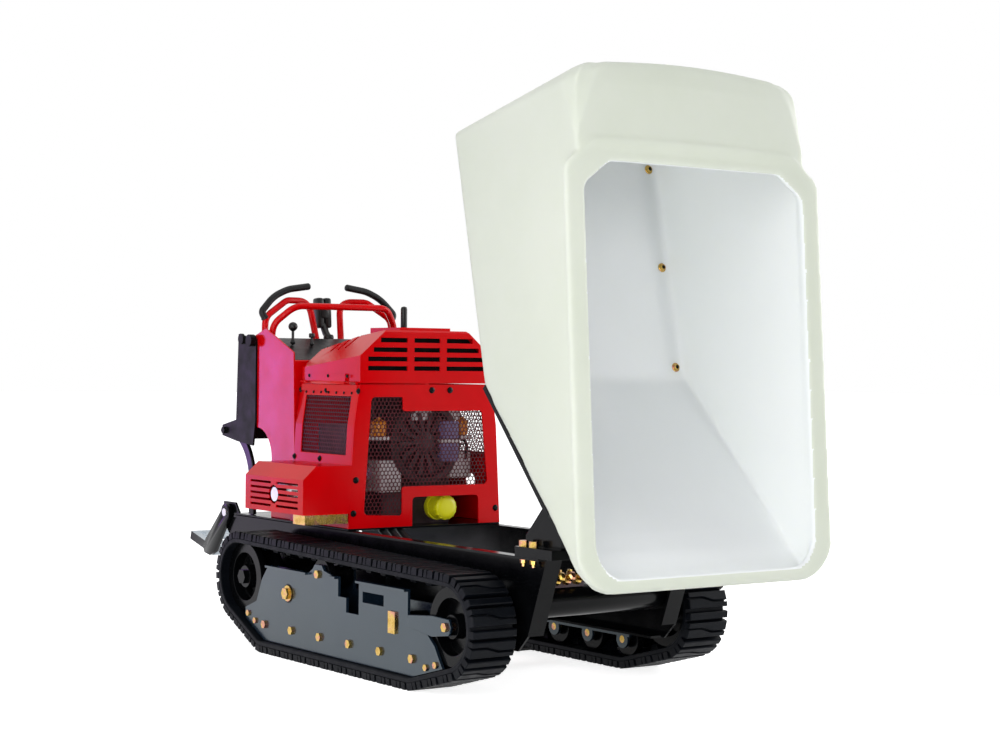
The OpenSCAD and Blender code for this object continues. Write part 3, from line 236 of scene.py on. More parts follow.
# Material of each CAD node
WHEELS = [f"{kind}_{side}" for kind in ("sprocket", "idler", "top_roller") for side in ("right", "left")]
WHEELS += [f"road_wheel_{side}_{i}" for side in ("right", "left") for i in range(1, 7)]
NODE_LOOKS = {
    "red_paint": ["front_panel", "side_panels", "hood", "hood_hinge", "muffler_guard", "handle_cage"],
    "console_paint": ["console"],
    "black_paint": ["cross_tubes", "chassis_rail_right", "chassis_rail_left", "cross_beams", "engine_deck",
                    "pivot_ears", "bucket_rails", "bucket_plate", "cylinder_bracket", "cylinder_barrel",
                    "drive_motors"] + WHEELS,
    "black_matte": ["pad_brackets"],
    "frame_paint": ["track_frame_right", "track_frame_left", "idler_arms"],
    "track_rubber": ["track_right", "track_left"],
    "white_poly": ["tub"],
    "zinc": ["wheel_axles", "zinc_hardware", "tub_bolts"],
    "bright_steel": ["pivot_pins", "cylinder_rod", "muffler"],
    "galvanised": ["platform"],
    "mesh_steel": ["mesh_screens"],
    "cast_grey": ["engine"],
    "filter_yellow": ["oil_filter"],
    "black_plastic": ["control_panel", "traction_lever", "throttle_lever", "choke_lever", "brake_lever"],
    "grip_rubber": ["hand_grips"],
    "pad_vinyl": ["thigh_pad"],
}
LOOK_OF = {node: look for look, nodes in NODE_LOOKS.items() for node in nodes}
for name, node in NODES.items():
    node.data.materials.clear()
    node.data.materials.append(MAT[LOOK_OF[name]])


# Mesh kit
def basis(n):
    """Two directions across n, and n itself, all of length 1."""
    n = n.normalized()
    u = n.orthogonal().normalized()
    return u, n.cross(u), n


def round_steps(n):
    """Angles of n even steps round a circle."""
    return [2 * math.pi * k / n for k in range(n)]


def soften(mesh, angle):
    """Smooth faces, with edges sharper than the angle kept sharp."""
    bm = bmesh.new()
    bm.from_mesh(mesh)
    for f in bm.faces:
        f.smooth = True
    for e in bm.edges:
        e.smooth = len(e.link_faces) == 2 and e.calc_face_angle(0) < angle
    bm.to_mesh(mesh)
    bm.free()


class Kit:
    """Collects mesh forms that become one piece."""

    def __init__(self):
        self.bm = bmesh.new()

    def strip(self, rings, ends_meet):
        """Faces between each ring of points and the next one."""
        rows = [[self.bm.verts.new(p) for p in ring] for ring in rings]
        for a, b in zip(rows, rows[1:] + rows[:1] if ends_meet else rows[1:]):
            for i in range(len(a)):
                j = (i + 1) % len(a)
                self.bm.faces.new((a[i], a[j], b[j], b[i]))
        return rows

    def loft(self, rings):
        """Closed form over a row of rings."""
        rows = self.strip(rings, False)
        self.bm.faces.new(list(reversed(rows[0])))
        self.bm.faces.new(rows[-1])

    def lathe(self, at, axis, prof, n):
        """Profile of (radius, height) in mm round an axis, in n steps."""
        u, v, w = basis(axis)
        rings = []
        for r, h in prof:
            rings.append([at + w * (h / 1000) + (u * math.cos(a) + v * math.sin(a)) * (max(r, 0.01) / 1000)
                          for a in round_steps(n)])
        self.loft(rings)

    def bolt(self, at, axis, r, h, washer=0.0):
        """Button head with a socket, on a washer of that radius."""
        w = 1.6 if washer else 0.0
        if washer:
            self.lathe(at, axis, [(washer, 0), (washer, w - 0.4), (washer - 0.6, w)], 24)
        self.lathe(at, axis, [(r, w), (r, w + h * 0.35), (r * 0.86, w + h * 0.8), (r * 0.6, w + h),
                              (r * 0.42, w + h), (r * 0.40, w + h * 0.45), (r * 0.05, w + h * 0.4)], 18)

    def tube(self, path, r, n):
        """Round rod of radius r mm along a path."""
        rings = []
        u = (path[1] - path[0]).normalized().orthogonal().normalized()
        for i, p in enumerate(path):
            t = (path[min(i + 1, len(path) - 1)] - path[max(i - 1, 0)]).normalized()
            u = (u - t * u.dot(t)).normalized()
            v = t.cross(u)
            rings.append([p + (u * math.cos(a) + v * math.sin(a)) * (r / 1000) for a in round_steps(n)])
        self.loft(rings)

    def prism(self, low, high, bevel=0.0):
        """Solid between two rings; the top edge is drawn in by bevel mm."""
        rings = [low, high]
        if bevel:
            c = sum(high, Vector()) / len(high)
            step = (high[0] - low[0]).normalized() * (bevel / 1000)
            shoulder = [p - step for p in high]
            rings = [low, shoulder, [p + (c - p).normalized() * (bevel / 1000) for p in high]]
        self.loft(rings)

    def box(self, a, b, bevel):
        """Box between two corners in wheel frame millimetres, all edges rounded."""
        lo = point(*[min(i, j) for i, j in zip(a, b)])
        hi = point(*[max(i, j) for i, j in zip(a, b)])
        m = Matrix.Translation((lo + hi) / 2) @ Matrix.Diagonal((*(hi - lo), 1))
        vs = bmesh.ops.create_cube(self.bm, size=1, matrix=m)["verts"]
        # each edge once, in a fixed order
        es = list(dict.fromkeys(e for v in vs for e in v.link_edges))
        bmesh.ops.bevel(self.bm, geom=es, offset=bevel / 1000, segments=2, profile=0.5, affect="EDGES")

    def turn_box(self, a, b, pivot, angle, bevel):
        """The same, turned about an axis along y through pivot (x, z)."""
        n0 = len(self.bm.verts)
        self.box(a, b, bevel)
        self.bm.verts.ensure_lookup_table()
        c = point(pivot[0], 0, pivot[1])
        m = Matrix.Translation(c) @ Matrix.Rotation(math.radians(angle), 4, "Y") @ Matrix.Translation(-c)
        bmesh.ops.transform(self.bm, matrix=m, verts=self.bm.verts[n0:])

    def done(self, name, body, slot, look=None, replaces=(), angle=38):
        """Piece from all the forms so far."""
        bmesh.ops.recalc_face_normals(self.bm, faces=self.bm.faces)
        mesh = bpy.data.meshes.new(name)
        self.bm.to_mesh(mesh)
        self.bm.free()
        piece(name, mesh, body, slot, look, replaces, angle)


def piece(name, mesh, body, slot, look=None, replaces=(), angle=38):
    """Piece that rides on a body; its look is that of its slot unless another one is named."""
    if angle:
        soften(mesh, math.radians(angle))
    o = bpy.data.objects.new(name, mesh)
    scene.collection.objects.link(o)
    mesh.materials.clear()
    mesh.materials.append(MAT[look or slot])
    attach(o, body)
    if replaces:
        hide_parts(*replaces)
    return o


def fillet(points, radius):
    """Row of points with its corners rounded, radius in mm."""
    steps, most = 8, 0.48
    out = [points[0]]
    for a, b, c in zip(points, points[1:], points[2:]):
        u, v = (a - b).normalized(), (c - b).normalized()
        half = math.acos(max(-1, min(1, u.dot(v)))) / 2
        d = min(radius / 1000 / math.tan(half), (a - b).length * most, (c - b).length * most)
        p, q = b + u * d, b + v * d
        for k in range(steps + 1):
            t = k / steps
            out.append(p * (1 - t) ** 2 + b * 2 * t * (1 - t) + q * t ** 2)
    out.append(points[-1])
    return out


def copy_of(node):
    """Copy of a CAD node, to be remeshed."""
    src = bpy.data.objects.new(node + "_copy", NODES[node].data.copy())
    scene.collection.objects.link(src)
    return src


def remeshed(src, voxel, smooth=0):
    """Mesh of a copy in even small faces, smoothed; the copy is used up."""
    m = src.modifiers.new("remesh", "REMESH")
    m.mode = "VOXEL"
    m.voxel_size = voxel
    if smooth:
        m = src.modifiers.new("smooth", "SMOOTH")
        m.factor = 0.5
        m.iterations = smooth
    mesh = evaluated(src)
    bpy.data.objects.remove(src)
    return mesh


def evaluated(o):
    """Mesh of an object with its modifiers applied."""
    dg = bpy.context.evaluated_depsgraph_get()
    return bpy.data.meshes.new_from_object(o.evaluated_get(dg))


# Tub: u runs forward from the rear wall of the level tub and w up from its floor
TIP = math.radians(77.2)  # tilt at rest
PIVOT_X, PIVOT_Z = 1166, 528  # in the wheel frame
PIVOT_U, PIVOT_W = 926.5, 142.3  # the same point in the tub
FLOOR_LEN = 637
TUB_H = 545  # at the rear wall
TUB_HALF, TUB_SPREAD, TUB_RISE = 328, 28, 565  # half width at the floor, what it gains, over which height
RIM_FALL = 0.1551  # for each millimetre forward
DECK_LEN = 190
LIP_U = 1207


def tub_point(u, y, w):
    """Point of the level tub, as a point of the model with the tub tipped."""
    du, dw = u - PIVOT_U, w - PIVOT_W
    return point(PIVOT_X + du * math.cos(TIP) + dw * math.sin(TIP), y,
                 PIVOT_Z - du * math.sin(TIP) + dw * math.cos(TIP))


def between(x, start, end):
    """0 before the start, 1 past the end, even steps between."""
    return np.clip((x - start) / (end - start), 0, 1)


def arch(y, half):
    """1 in the middle, 0 at the half width and beyond."""
    return np.clip(1 - (y / half) ** 2, 0, 1)


def round_deck_edges(u, y, w):
    """The edge between deck and sides is rounded, less and less towards the rim."""
    corner_r, edge_r = 80, 62
    plan = corner_r - np.sqrt(corner_r ** 2 - (corner_r - np.clip(u, 0, corner_r)) ** 2)
    r = edge_r * between(u, DECK_LEN, 50)
    in_y = r - (TUB_HALF + TUB_SPREAD * w / TUB_RISE - plan - np.abs(y))
    in_w = r - (TUB_H - RIM_FALL * u - w)
    shrunk = (in_y ** 4 + in_w ** 4) ** 0.25 / np.maximum(np.hypot(in_y, in_w), 1)
    k = np.where((in_y > 0) & (in_w > 0) & (r > 2), shrunk, 1)
    return y + np.sign(y) * in_y * (k - 1), w + in_w * (k - 1)


def shape_tub(u, y, w):
    """Soft forms of the moulded tub, as changes to the places of its mesh points."""
    deck_crown, wall_bulge, edge_bulge = 15, 5, 15
    lip_taper, inner_lip_u, inner_lip_out, lip_out = 0.08, 1173, 17, 9
    y, w = round_deck_edges(u, y, w)
    # the deck behind the opening is crowned
    ease = between(u, -10, 60) * between(w, 460, 510) * between(u, 215, 185)
    w = w + deck_crown * ease * arch(y, 340)
    # the rear wall bulges a little, most at its upper edge
    u = u - wall_bulge * between(u, 60, 10) * arch(y, 310) * between(w, 40, 140)
    u = u - edge_bulge * between(u, 90, 30) * arch(y, 310) * between(w, 515, 540)
    # the lip is drawn out, with a narrow rim and tapered corners
    y = y * (1 - lip_taper * between(u, 1115, LIP_U) ** 2)
    u = u + np.interp(u, [1060, inner_lip_u, LIP_U], [0, inner_lip_out, lip_out])
    return u, y, w


def make_tub():
    voxel, smooth = ((0.005, 14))
    mesh = remeshed(copy_of("tub"), voxel, smooth)
    co = np.zeros(len(mesh.vertices) * 3)
    mesh.vertices.foreach_get("co", co)
    co = co.reshape(-1, 3)
    dx, dz = co[:, 0] * 1000 + X_MID - PIVOT_X, co[:, 2] * 1000 - PIVOT_Z
    u = dx * math.cos(TIP) - dz * math.sin(TIP) + PIVOT_U
    w = dx * math.sin(TIP) + dz * math.cos(TIP) + PIVOT_W
    u, y, w = shape_tub(u, co[:, 1] * 1000, w)
    du, dw = u - PIVOT_U, w - PIVOT_W
    co[:, 0] = (PIVOT_X + du * math.cos(TIP) + dw * math.sin(TIP) - X_MID) / 1000
    co[:, 1] = y / 1000
    co[:, 2] = (PIVOT_Z - du * math.sin(TIP) + dw * math.cos(TIP)) / 1000
    mesh.vertices.foreach_set("co", co.reshape(-1))
    mesh.update()
    piece("tub_shell", mesh, "bucket", "white_poly", replaces=("tub",), angle=60)
    # the inside, the faces that look at the middle of the tub, gets a paler and smoother copy of the poly;
    # the paler colour is painted light in the shaded inside
    mesh.materials.append(MAT["poly_inside_painted_light"])
    middle = tub_point(430, 0, 330)
    for f in mesh.polygons:
        d = middle - f.center
        if f.normal.dot(d) > 0.15 * d.length:
            f.material_index = 1


make_tub()

# Tracks: a belt outline over four circles (x, z, radius), rear ground, front ground, idler, sprocket
LOOP = [(0, 79, 79), (762.5, 79, 79), (921, 176, 132), (-140, 200, 130)]
TREAD_H = 18
TREAD_PITCH = 72
TRACK_Y = 340


def run_normal(i):
    """Outward normal of the straight run after circle i."""
    (ax, az, ar), (bx, bz, br) = LOOP[i], LOOP[(i + 1) % 4]
    dx, dz = bx - ax, bz - az
    d = math.hypot(dx, dz)
    s = (ar - br) / d
    q = math.sqrt(1 - s * s)
    return (dx * s + dz * q) / d, (dz * s - dx * q) / d


def run_length(i):
    """Length of the straight run after circle i."""
    (ax, az, ar), (bx, bz, br) = LOOP[i], LOOP[(i + 1) % 4]
    return math.sqrt((ax - bx) ** 2 + (az - bz) ** 2 - (ar - br) ** 2)


RUN_NORMAL = [run_normal(i) for i in range(4)]
RUN_LENGTH = [run_length(i) for i in range(4)]
RUN_ANGLE = [math.atan2(n[1], n[0]) for n in RUN_NORMAL]
ARC_START = [RUN_ANGLE[(i + 3) % 4] for i in range(4)]
ARC_SPAN = [(RUN_ANGLE[i] - ARC_START[i]) % (2 * math.pi) for i in range(4)]


def loop_length(e):
    """Length of the outline offset by e."""
    return sum((LOOP[i][2] + e) * ARC_SPAN[i] + RUN_LENGTH[i] for i in range(4))


def loop_at(s, e, h):
    """Point at length s of the outline offset by e, h further out."""
    s %= loop_length(e)
    for i in range(4):
        cx, cz, r = LOOP[i]
        r += e
        if s <= r * ARC_SPAN[i]:
            a = ARC_START[i] + s / r
            return cx + (r + h) * math.cos(a), cz + (r + h) * math.sin(a)
        s -= r * ARC_SPAN[i]
        if s <= RUN_LENGTH[i]:
            n = RUN_NORMAL[i]
            return cx + (r + h) * n[0] - n[1] * s, cz + (r + h) * n[1] + n[0] * s
        s -= RUN_LENGTH[i]
    return loop_at(0, e, h)


def drawn_in(outline, d):
    """Outline of (s, y) with each point moved by d towards the middle, along both axes."""
    cs = sum(p[0] for p in outline) / len(outline)
    cy = sum(p[1] for p in outline) / len(outline)
    return [(s + (cs - s) / (abs(cs - s) + 1e-6) * min(d, abs(cs - s) * 0.9),
             y + (cy - y) / (abs(cy - y) + 1e-6) * min(d, abs(cy - y) * 0.9)) for s, y in outline]


def make_track(name, side, node):
    kit = Kit()
    draft = 1.5
    length = loop_length(-TREAD_H)
    count = round(length / TREAD_PITCH)
    pitch = length / count

    def at(s, y, h):
        x, z = loop_at(s, -TREAD_H, h)
        return point(x, side * TRACK_Y + y, z)

    def block(outline, h, chamfer=1.6):
        """Tread block over a polygon of (s, y), h mm high."""
        kit.loft([[at(s, y, -1) for s, y in drawn_in(outline, -draft)],
                  [at(s, y, h - chamfer) for s, y in drawn_in(outline, 0)],
                  [at(s, y, h) for s, y in drawn_in(outline, chamfer)]])

    # band, with softened edges
    sect = [(-62, 0), (-65, -3), (-65, -12), (-63, -14), (63, -14), (65, -12), (65, -3), (62, 0)]
    steps = count * 8
    kit.strip([[at(k * length / steps, y, h) for y, h in sect] for k in range(steps)], True)
    edge, gap = 64, 2.4
    for k in range(count):
        o = k * pitch
        # wide block, parted by a stepped groove above its foot
        s0, s1 = o + 0.065 * pitch, o + 0.585 * pitch
        ga, gb = o + 0.40 * pitch, o + 0.25 * pitch
        block([(s0, -63), (s1, -63), (s1, 63), (s0, 63)], 9, 1)
        block([(s0, -edge), (ga - gap, -edge), (ga - gap, -20), (gb - gap, 18), (gb - gap, edge),
               (s0, edge)], TREAD_H)
        block([(ga + gap, -edge), (s1, -edge), (s1, edge), (gb + gap, edge), (gb + gap, 20),
               (ga + gap, -18)], TREAD_H)
        # narrow block
        b0, b1 = o + 0.695 * pitch, o + 0.915 * pitch
        block([(b0, -edge), (b1, -edge), (b1, edge), (b0, edge)], TREAD_H, 2)
        # guide lug inside
        rings = []
        for h, d in ((-13, 0), (-24, 3), (-31, 7), (-32, 9)):
            a, b = o + 0.12 * pitch + d, o + 0.62 * pitch - d
            wy = 15 - d * 0.4
            rings.append([at(a, -wy, h), at(b, -wy, h), at(b, wy, h), at(a, wy, h)])
        kit.loft(rings)
    kit.done(name, "chassis", "track_rubber", replaces=(node,), angle=34)


make_track("tread_right", -1, "track_right")
make_track("tread_left", 1, "track_left")

# Mesh screens
CELL, WIRE, SHEET = 12.5, 1.25, 1.6
FRONT_X = 228
SCREEN_IN = 4.3  # from the outer face of a panel to its screen
WINDOW = [(-206, 394), (-80, 389), (-80, 470), (212, 470), (190, 682), (-80, 682), (-80, 722), (-184, 722)]
SIDE_WINDOW = [(-58, 560), (190, 560), (190, 723), (-58, 723)]


def inside(p, poly):
    """Whether a point lies in a polygon."""
    ok = False
    for (ax, ay), (bx, by) in zip(poly, poly[1:] + poly[:1]):
        if (ay > p[1]) != (by > p[1]) and p[0] < (bx - ax) * (p[1] - ay) / (by - ay) + ax:
            ok = not ok
    return ok


def near(p, poly, d):
    """Inside the polygon, or within d of it."""
    return inside(p, poly) or any(inside((p[0] + d * math.cos(a), p[1] + d * math.sin(a)), poly)
                                  for a in round_steps(8))


def honeycomb(kit, poly, to_point):
    """Sheet of six-sided cells over a polygon, each a closed frame."""
    reach, margin = 15, 8
    xs, ys = [p[0] for p in poly], [p[1] for p in poly]
    rise = CELL * math.sqrt(3) / 2
    outer = CELL / math.sqrt(3)
    inner = outer - WIRE
    lap = outer + 0.15
    for j in range(int((min(ys) - reach) / rise), int((max(ys) + reach) / rise) + 1):
        for i in range(int((min(xs) - reach) / CELL) - 1, int((max(xs) + reach) / CELL) + 1):
            c = ((i + (j % 2) / 2) * CELL, j * rise)
            if near(c, poly, margin):
                kit.strip([[to_point(c[0] + r * math.sin(a), c[1] + r * math.cos(a), d)
                            for a in round_steps(6)]
                           for r, d in ((lap, 0), (inner, 0), (inner - 0.2, SHEET), (lap, SHEET))], True)


def body_half(z):
    """Half width of the engine body at a height; it leans in more above the fold."""
    seam_z, fold_z, low_z = 760, 640, 358
    seam_half, low_half = 222, 256
    fold_half = seam_half + 0.53 * (low_half - seam_half)
    if z > fold_z:
        return seam_half + (fold_half - seam_half) * (seam_z - z) / (seam_z - fold_z)
    return fold_half + (low_half - fold_half) * (fold_z - z) / (fold_z - low_z)


def make_screens():
    kit = Kit()
    honeycomb(kit, WINDOW, lambda y, z, d: point(FRONT_X - SCREEN_IN - d, y, z))
    for s in SIDES:
        honeycomb(kit, SIDE_WINDOW, lambda x, z, d: point(x, s * (body_half(z) - SCREEN_IN - d), z))
    kit.done("honeycomb", "chassis", "mesh_steel", replaces=("mesh_screens",), angle=25)


make_screens()


# Handle tubes and grips
def make_handle_tubes():
    tube_r, stub_r = 10, 8
    kit = Kit()
    hoop = [point(-292, -216, 868), point(-285, -212, 930), point(-247, -160, 984), point(-245, 160, 984),
            point(-285, 212, 930), point(-292, 216, 868)]
    kit.tube(fillet(hoop, 60), tube_r, 20)
    for s in SIDES:
        bow = [point(-318, s * 222, 862), point(-318, s * 222, 950), point(-334, s * 140, 1003),
               point(-352, s * 54, 1003), point(-316, s * 41, 862)]
        kit.tube(fillet(bow, 45), tube_r, 20)
        stub = [point(-318, s * 222, 944), point(-320, s * 234, 966), point(-323, s * 215, 986)]
        kit.tube(fillet(stub, 20), stub_r, 16)
        # weld beads at the foot of each tube
        for x, y, z in ((-292, 216, 885), (-318, 222, 877), (-315, 41, 877)):
            kit.lathe(point(x, s * y, z), Vector((0.3, 0, 1)), [(14, 0), (14, 2), (12, 5), (10, 6.5)], 20)
    kit.done("handle_tubes", "chassis", "red_paint", replaces=("handle_cage",), angle=40)


def make_grips():
    grip_r = 10.4
    kit = Kit()
    for s in SIDES:
        path = fillet([point(-318, s * 222, 946), point(-320, s * 234, 966), point(-328, s * 188, 1014),
                       point(-330, s * 138, 1036), point(-330, s * 70, 1046)], 130)
        kit.tube(path, grip_r, 20)
        kit.lathe(path[-1], path[-1] - path[-2], [(10.2, -3), (10.6, 0), (10.2, 3), (8, 6), (3, 7.4)], 20)
        kit.lathe(path[0], path[1] - path[0], [(10, -1), (12, 0), (12, 4), (10.6, 6)], 20)
    kit.done("grips", "chassis", "grip_rubber", replaces=("hand_grips",), angle=40)


make_handle_tubes()
make_grips()


# Thigh pad
def make_pad():
    shrink, most_swell = 0.965, 0.009
    seam_deep, seam_from_front, seam_wide, seam_from_y = 0.004, 0.022, 0.006, 0.15
    bracket_x = point(-364, 0, 0).x
    last_frame = 20
    src = copy_of("thigh_pad")
    corners = src.data.vertices
    middle = sum((v.co for v in corners), Vector()) / len(corners)
    for v in corners:
        v.co = middle + (v.co - middle) * shrink
    front = max(v.co.x for v in corners)
    mesh = remeshed(src, 0.007)
    o = piece("pad_cushion", mesh, "chassis", "pad_vinyl", replaces=("thigh_pad",), angle=0)
    # a seam round the sides is drawn in
    rest = [v.co.copy() for v in mesh.vertices]
    for v in mesh.vertices:
        k = math.exp(-((v.co.x - (front - seam_from_front)) / seam_wide) ** 2)
        v.co.y -= seam_deep * k * (1 if v.co.y > 0 else -1) * (abs(v.co.y) > seam_from_y)
    cloth = o.modifiers.new("cloth", "CLOTH")
    cloth.settings.use_pressure = True
    cloth.settings.uniform_pressure_force = 4
    cloth.settings.effector_weights.gravity = 0
    cloth.settings.quality = 5
    cloth.collision_settings.use_collision = False
    cloth.point_cache.frame_start = 1
    cloth.point_cache.frame_end = last_frame
    for f in range(1, last_frame + 1):
        scene.frame_set(f)
    swollen = evaluated(o)
    o.modifiers.clear()
    for v, r, s in zip(mesh.vertices, rest, swollen.vertices):
        d = s.co - r
        if d.length > most_swell:
            d *= most_swell / d.length
        v.co = r + d
    scene.frame_set(1)
    # the front stays flat against its bracket
    for v in mesh.vertices:
        v.co.x = min(v.co.x, bracket_x)
    for f in mesh.polygons:
        f.use_smooth = True
    sub = o.modifiers.new("sub", "SUBSURF")
    sub.levels = sub.render_levels = 1
    mesh.update()


make_pad()


# Bolts of the panels (y, z on the front, x, z on a side) and the hood, and a dark sheet behind the hood
# slots that is painted shade of the hollow hood
FRONT_BOLTS = ((16, 741), (78, 741), (-233, 492), (-240, 400), (240, 400))
SIDE_BOLTS = ((-92, 545), (-92, 738), (52, 545), (52, 738), (226, 738))
SCREEN_BOLTS_X = range(-60, 200, 42)
HOOD_BOLTS_X = (-40, 65, 170)
SLOT_SHADE_EDGE = [(-205, 786), (205, 786), (205, 832), (140, 894), (-140, 894), (-205, 832)]


def make_panel_bolts():
    kit = Kit()
    for y, z in FRONT_BOLTS:
        kit.bolt(point(FRONT_X, y, z), FRONT, 6.5, 2.2, washer=9)
    for s in SIDES:
        out = Vector((0, s, 0.12))
        for x, z in SIDE_BOLTS:
            kit.bolt(point(x, s * body_half(z), z), out, 6, 4, washer=8.5)
        for x in SCREEN_BOLTS_X:
            kit.bolt(point(x, s * body_half(734), 732), out, 4, 3)
    kit.done("panel_bolts", "chassis", "black_paint")


def make_hood_bolts():
    kit = Kit()
    for x in HOOD_BOLTS_X:
        kit.bolt(point(x, -228.2, 779), RIGHT, 5, 3.4)
    kit.done("hood_bolts", "hood_body", "black_paint")


# dark sheet behind the hood slots, painted shade of the hood's inside
def make_hood_slot_shade():
    kit = Kit()
    kit.prism([point(208, y, z) for y, z in SLOT_SHADE_EDGE], [point(212, y, z) for y, z in SLOT_SHADE_EDGE], 1)
    kit.done("hood_slot_shade", "hood_body", "black_plastic", "slot_shade_black")


make_panel_bolts()
make_hood_bolts()
make_hood_slot_shade()

# Engine bay behind the mesh: boxes by two corners, bowls by x, y and radius, hoses by route and radius
FAN_AT = point(182, 20, 590)
ENGINE_COVERS = (((90, -130, 452), (192, -60, 542)), ((70, -22, 654), (190, 42, 694)),
                 ((70, 86, 654), (190, 140, 690)), ((90, -168, 598), (198, -104, 611)),
                 ((90, 124, 598), (194, 178, 610)), ((90, 112, 486), (182, 184, 560)),
                 ((150, 66, 589), (207, 132, 600)))
ENGINE_BOXES = (((150, 70, 602), (205, 128, 652)), ((150, 70, 536), (205, 128, 588)))
BOX_RIBS_Z = (612, 626, 640, 546, 560, 574)
FUEL_BOWLS = ((184, -134, 23), (180, 152, 18))
ENGINE_HOSES = (
    ([(184, -134, 604), (180, -128, 572), (168, -50, 500), (146, 10, 470)], 5),
    ([(180, 152, 604), (186, 168, 585), (180, 166, 540), (160, 150, 520)], 5),
    ([(184, -134, 660), (190, -112, 704), (188, 0, 712), (186, 110, 704), (180, 152, 660)], 4),
    ([(150, -148, 602), (160, -158, 560), (146, -164, 450), (112, -150, 362)], 8))


def make_fan():
    hub_r, tip_r, blades = 0.034, 0.088, 14
    fin_y, fin_half, fin_t = 130, 62, 4
    kit = Kit()
    kit.lathe(FAN_AT, FRONT, [(112, -4), (118, 0), (118, 12), (112, 16), (100, 16), (96, 8), (92, -10),
                              (60, -12)], 48)
    for a in round_steps(blades):
        d = Vector((0, math.cos(a), math.sin(a)))
        t = Vector((0, -math.sin(a), math.cos(a)))
        root, tip = FAN_AT + d * hub_r, FAN_AT + d * tip_r
        q = [root + t * 0.004, tip + t * 0.010, tip - t * 0.004, root - t * 0.006]
        kit.prism([p - FRONT * 0.006 for p in q], [p + FRONT * 0.010 for p in q])
    kit.lathe(FAN_AT, FRONT, [(34, -10), (34, 8), (28, 13), (10, 15), (4, 15)], 32)
    # cooling fins to both sides
    for s in SIDES:
        for z in range(530, 627, 12):
            kit.box((96, s * fin_y - fin_half, z), (134, s * fin_y + fin_half, z + fin_t), 1)
    kit.done("fan", "chassis", "cast_grey")


def make_engine_covers():
    kit = Kit()
    for low, high in ENGINE_COVERS:
        kit.box(low, high, 4)
    kit.done("engine_covers", "chassis", "cast_grey", "pale_cast_painted_light")


def make_engine_boxes():
    kit = Kit()
    for low, high in ENGINE_BOXES:
        kit.box(low, high, 5)
    for z in BOX_RIBS_Z:
        kit.box((196, 74, z), (208, 124, z + 5), 1.5)
    kit.done("engine_boxes", "chassis", "cast_grey", "violet_cover")


def make_fuel_bowls():
    kit = Kit()
    for x, y, r in FUEL_BOWLS:
        kit.lathe(point(x, y, 609), TOP, [(r - 8, 0), (r - 1, 4), (r, 8), (r, 40), (r - 5, 46), (6, 50),
                                          (6, 56)], 28)
    kit.done("fuel_bowls", "chassis", "filter_yellow", "amber")


def make_engine_hoses():
    kit = Kit()
    for route, r in ENGINE_HOSES:
        kit.tube(fillet([point(*p) for p in route], 40), r, 10)
    kit.done("engine_hoses", "chassis", "grip_rubber")


def make_filter_end():
    kit = Kit()
    c = point(210, 82, 405)
    kit.lathe(c, FRONT, [(33, -20), (34.5, -16), (34.5, -6), (33, 0), (30, 3), (20, 4.4), (6, 4.6)], 40)
    # flutes
    for a in round_steps(15):
        d = Vector((0, math.cos(a), math.sin(a)))
        kit.lathe(c + d * 0.0335 - FRONT * 0.012, FRONT, [(2.4, -4), (2.6, 0), (2.2, 12), (1, 14)], 8)
    kit.done("filter_end", "chassis", "filter_yellow")


make_fan()
make_engine_covers()
make_engine_boxes()
make_fuel_bowls()
make_engine_hoses()
make_filter_end()

# Controls
PANEL_RIDGE_X, PANEL_RIDGE_Z = -280, 888
PANEL_REAR_FALL, PANEL_FRONT_FALL = 0.324, 0.392
PANEL_OUT = Vector((0.365, 0, 0.931))
PANEL_LEAN = math.radians(21.4)


def panel_z(x):
    """Height of the control panel, which falls to both sides of a ridge."""
    if x < PANEL_RIDGE_X:
        return PANEL_RIDGE_Z - (PANEL_RIDGE_X - x) * PANEL_REAR_FALL
    return PANEL_RIDGE_Z - (x - PANEL_RIDGE_X) * PANEL_FRONT_FALL


def make_panel_controls():
    kit = Kit()
    dial_r = 26
    for x, y in ((-190, -60), (-190, 20)):
        kit.lathe(point(x, y, panel_z(x)), PANEL_OUT, [(dial_r, -1), (dial_r, 4), (dial_r - 2, 6),
                                                       (dial_r - 4, 6), (dial_r - 5, 3), (2, 3)], 36)
    for x, y in ((-160, 90), (-160, 130), (-236, 100)):
        kit.lathe(point(x, y, panel_z(x)), PANEL_OUT, [(11, -1), (11, 3), (9, 5), (6, 5), (5, 14),
                                                       (3, 15)], 20)
    kit.done("panel_controls", "chassis", "black_plastic")


def make_traction_grip():
    """Two moulded halves with a band round them."""
    kit = Kit()
    lean, pivot = -4, (-358, 920)
    base = point(-322, 0, panel_z(-322) + 17.1)
    kit.lathe(base, TOP, [(2, -15.8), (10, -12.4), (15, -5), (16, 0), (15, 6), (12, 10)], 28)
    kit.tube([base, point(-338, 0, 905), point(-355, 0, 930)], 11, 18)
    for a, b in ((-25, -1.2), (1.2, 25)):
        kit.turn_box((-375, a, 921), (-341, b, 1014), pivot, lean, 7)
    kit.turn_box((-379, -14, 950), (-337, 14, 990), pivot, lean, 5)
    kit.done("traction_grip", "traction_lever_body", "black_plastic", replaces=("traction_lever",))


def make_lever(name, node, x, y, ball_r, prof):
    """Lever on a ball that stands on the panel."""
    kit = Kit()
    at = point(x, y, panel_z(x) + (ball_r + 0.3) / math.cos(PANEL_LEAN))
    flank = ball_r * 0.7
    kit.lathe(at, TOP, [(1, -ball_r), (flank, -flank), (ball_r, 0), (flank, flank), (5, ball_r)], 20)
    kit.lathe(at, TOP, prof, 24)
    kit.done(name, node + "_body", "black_plastic", replaces=(node,))


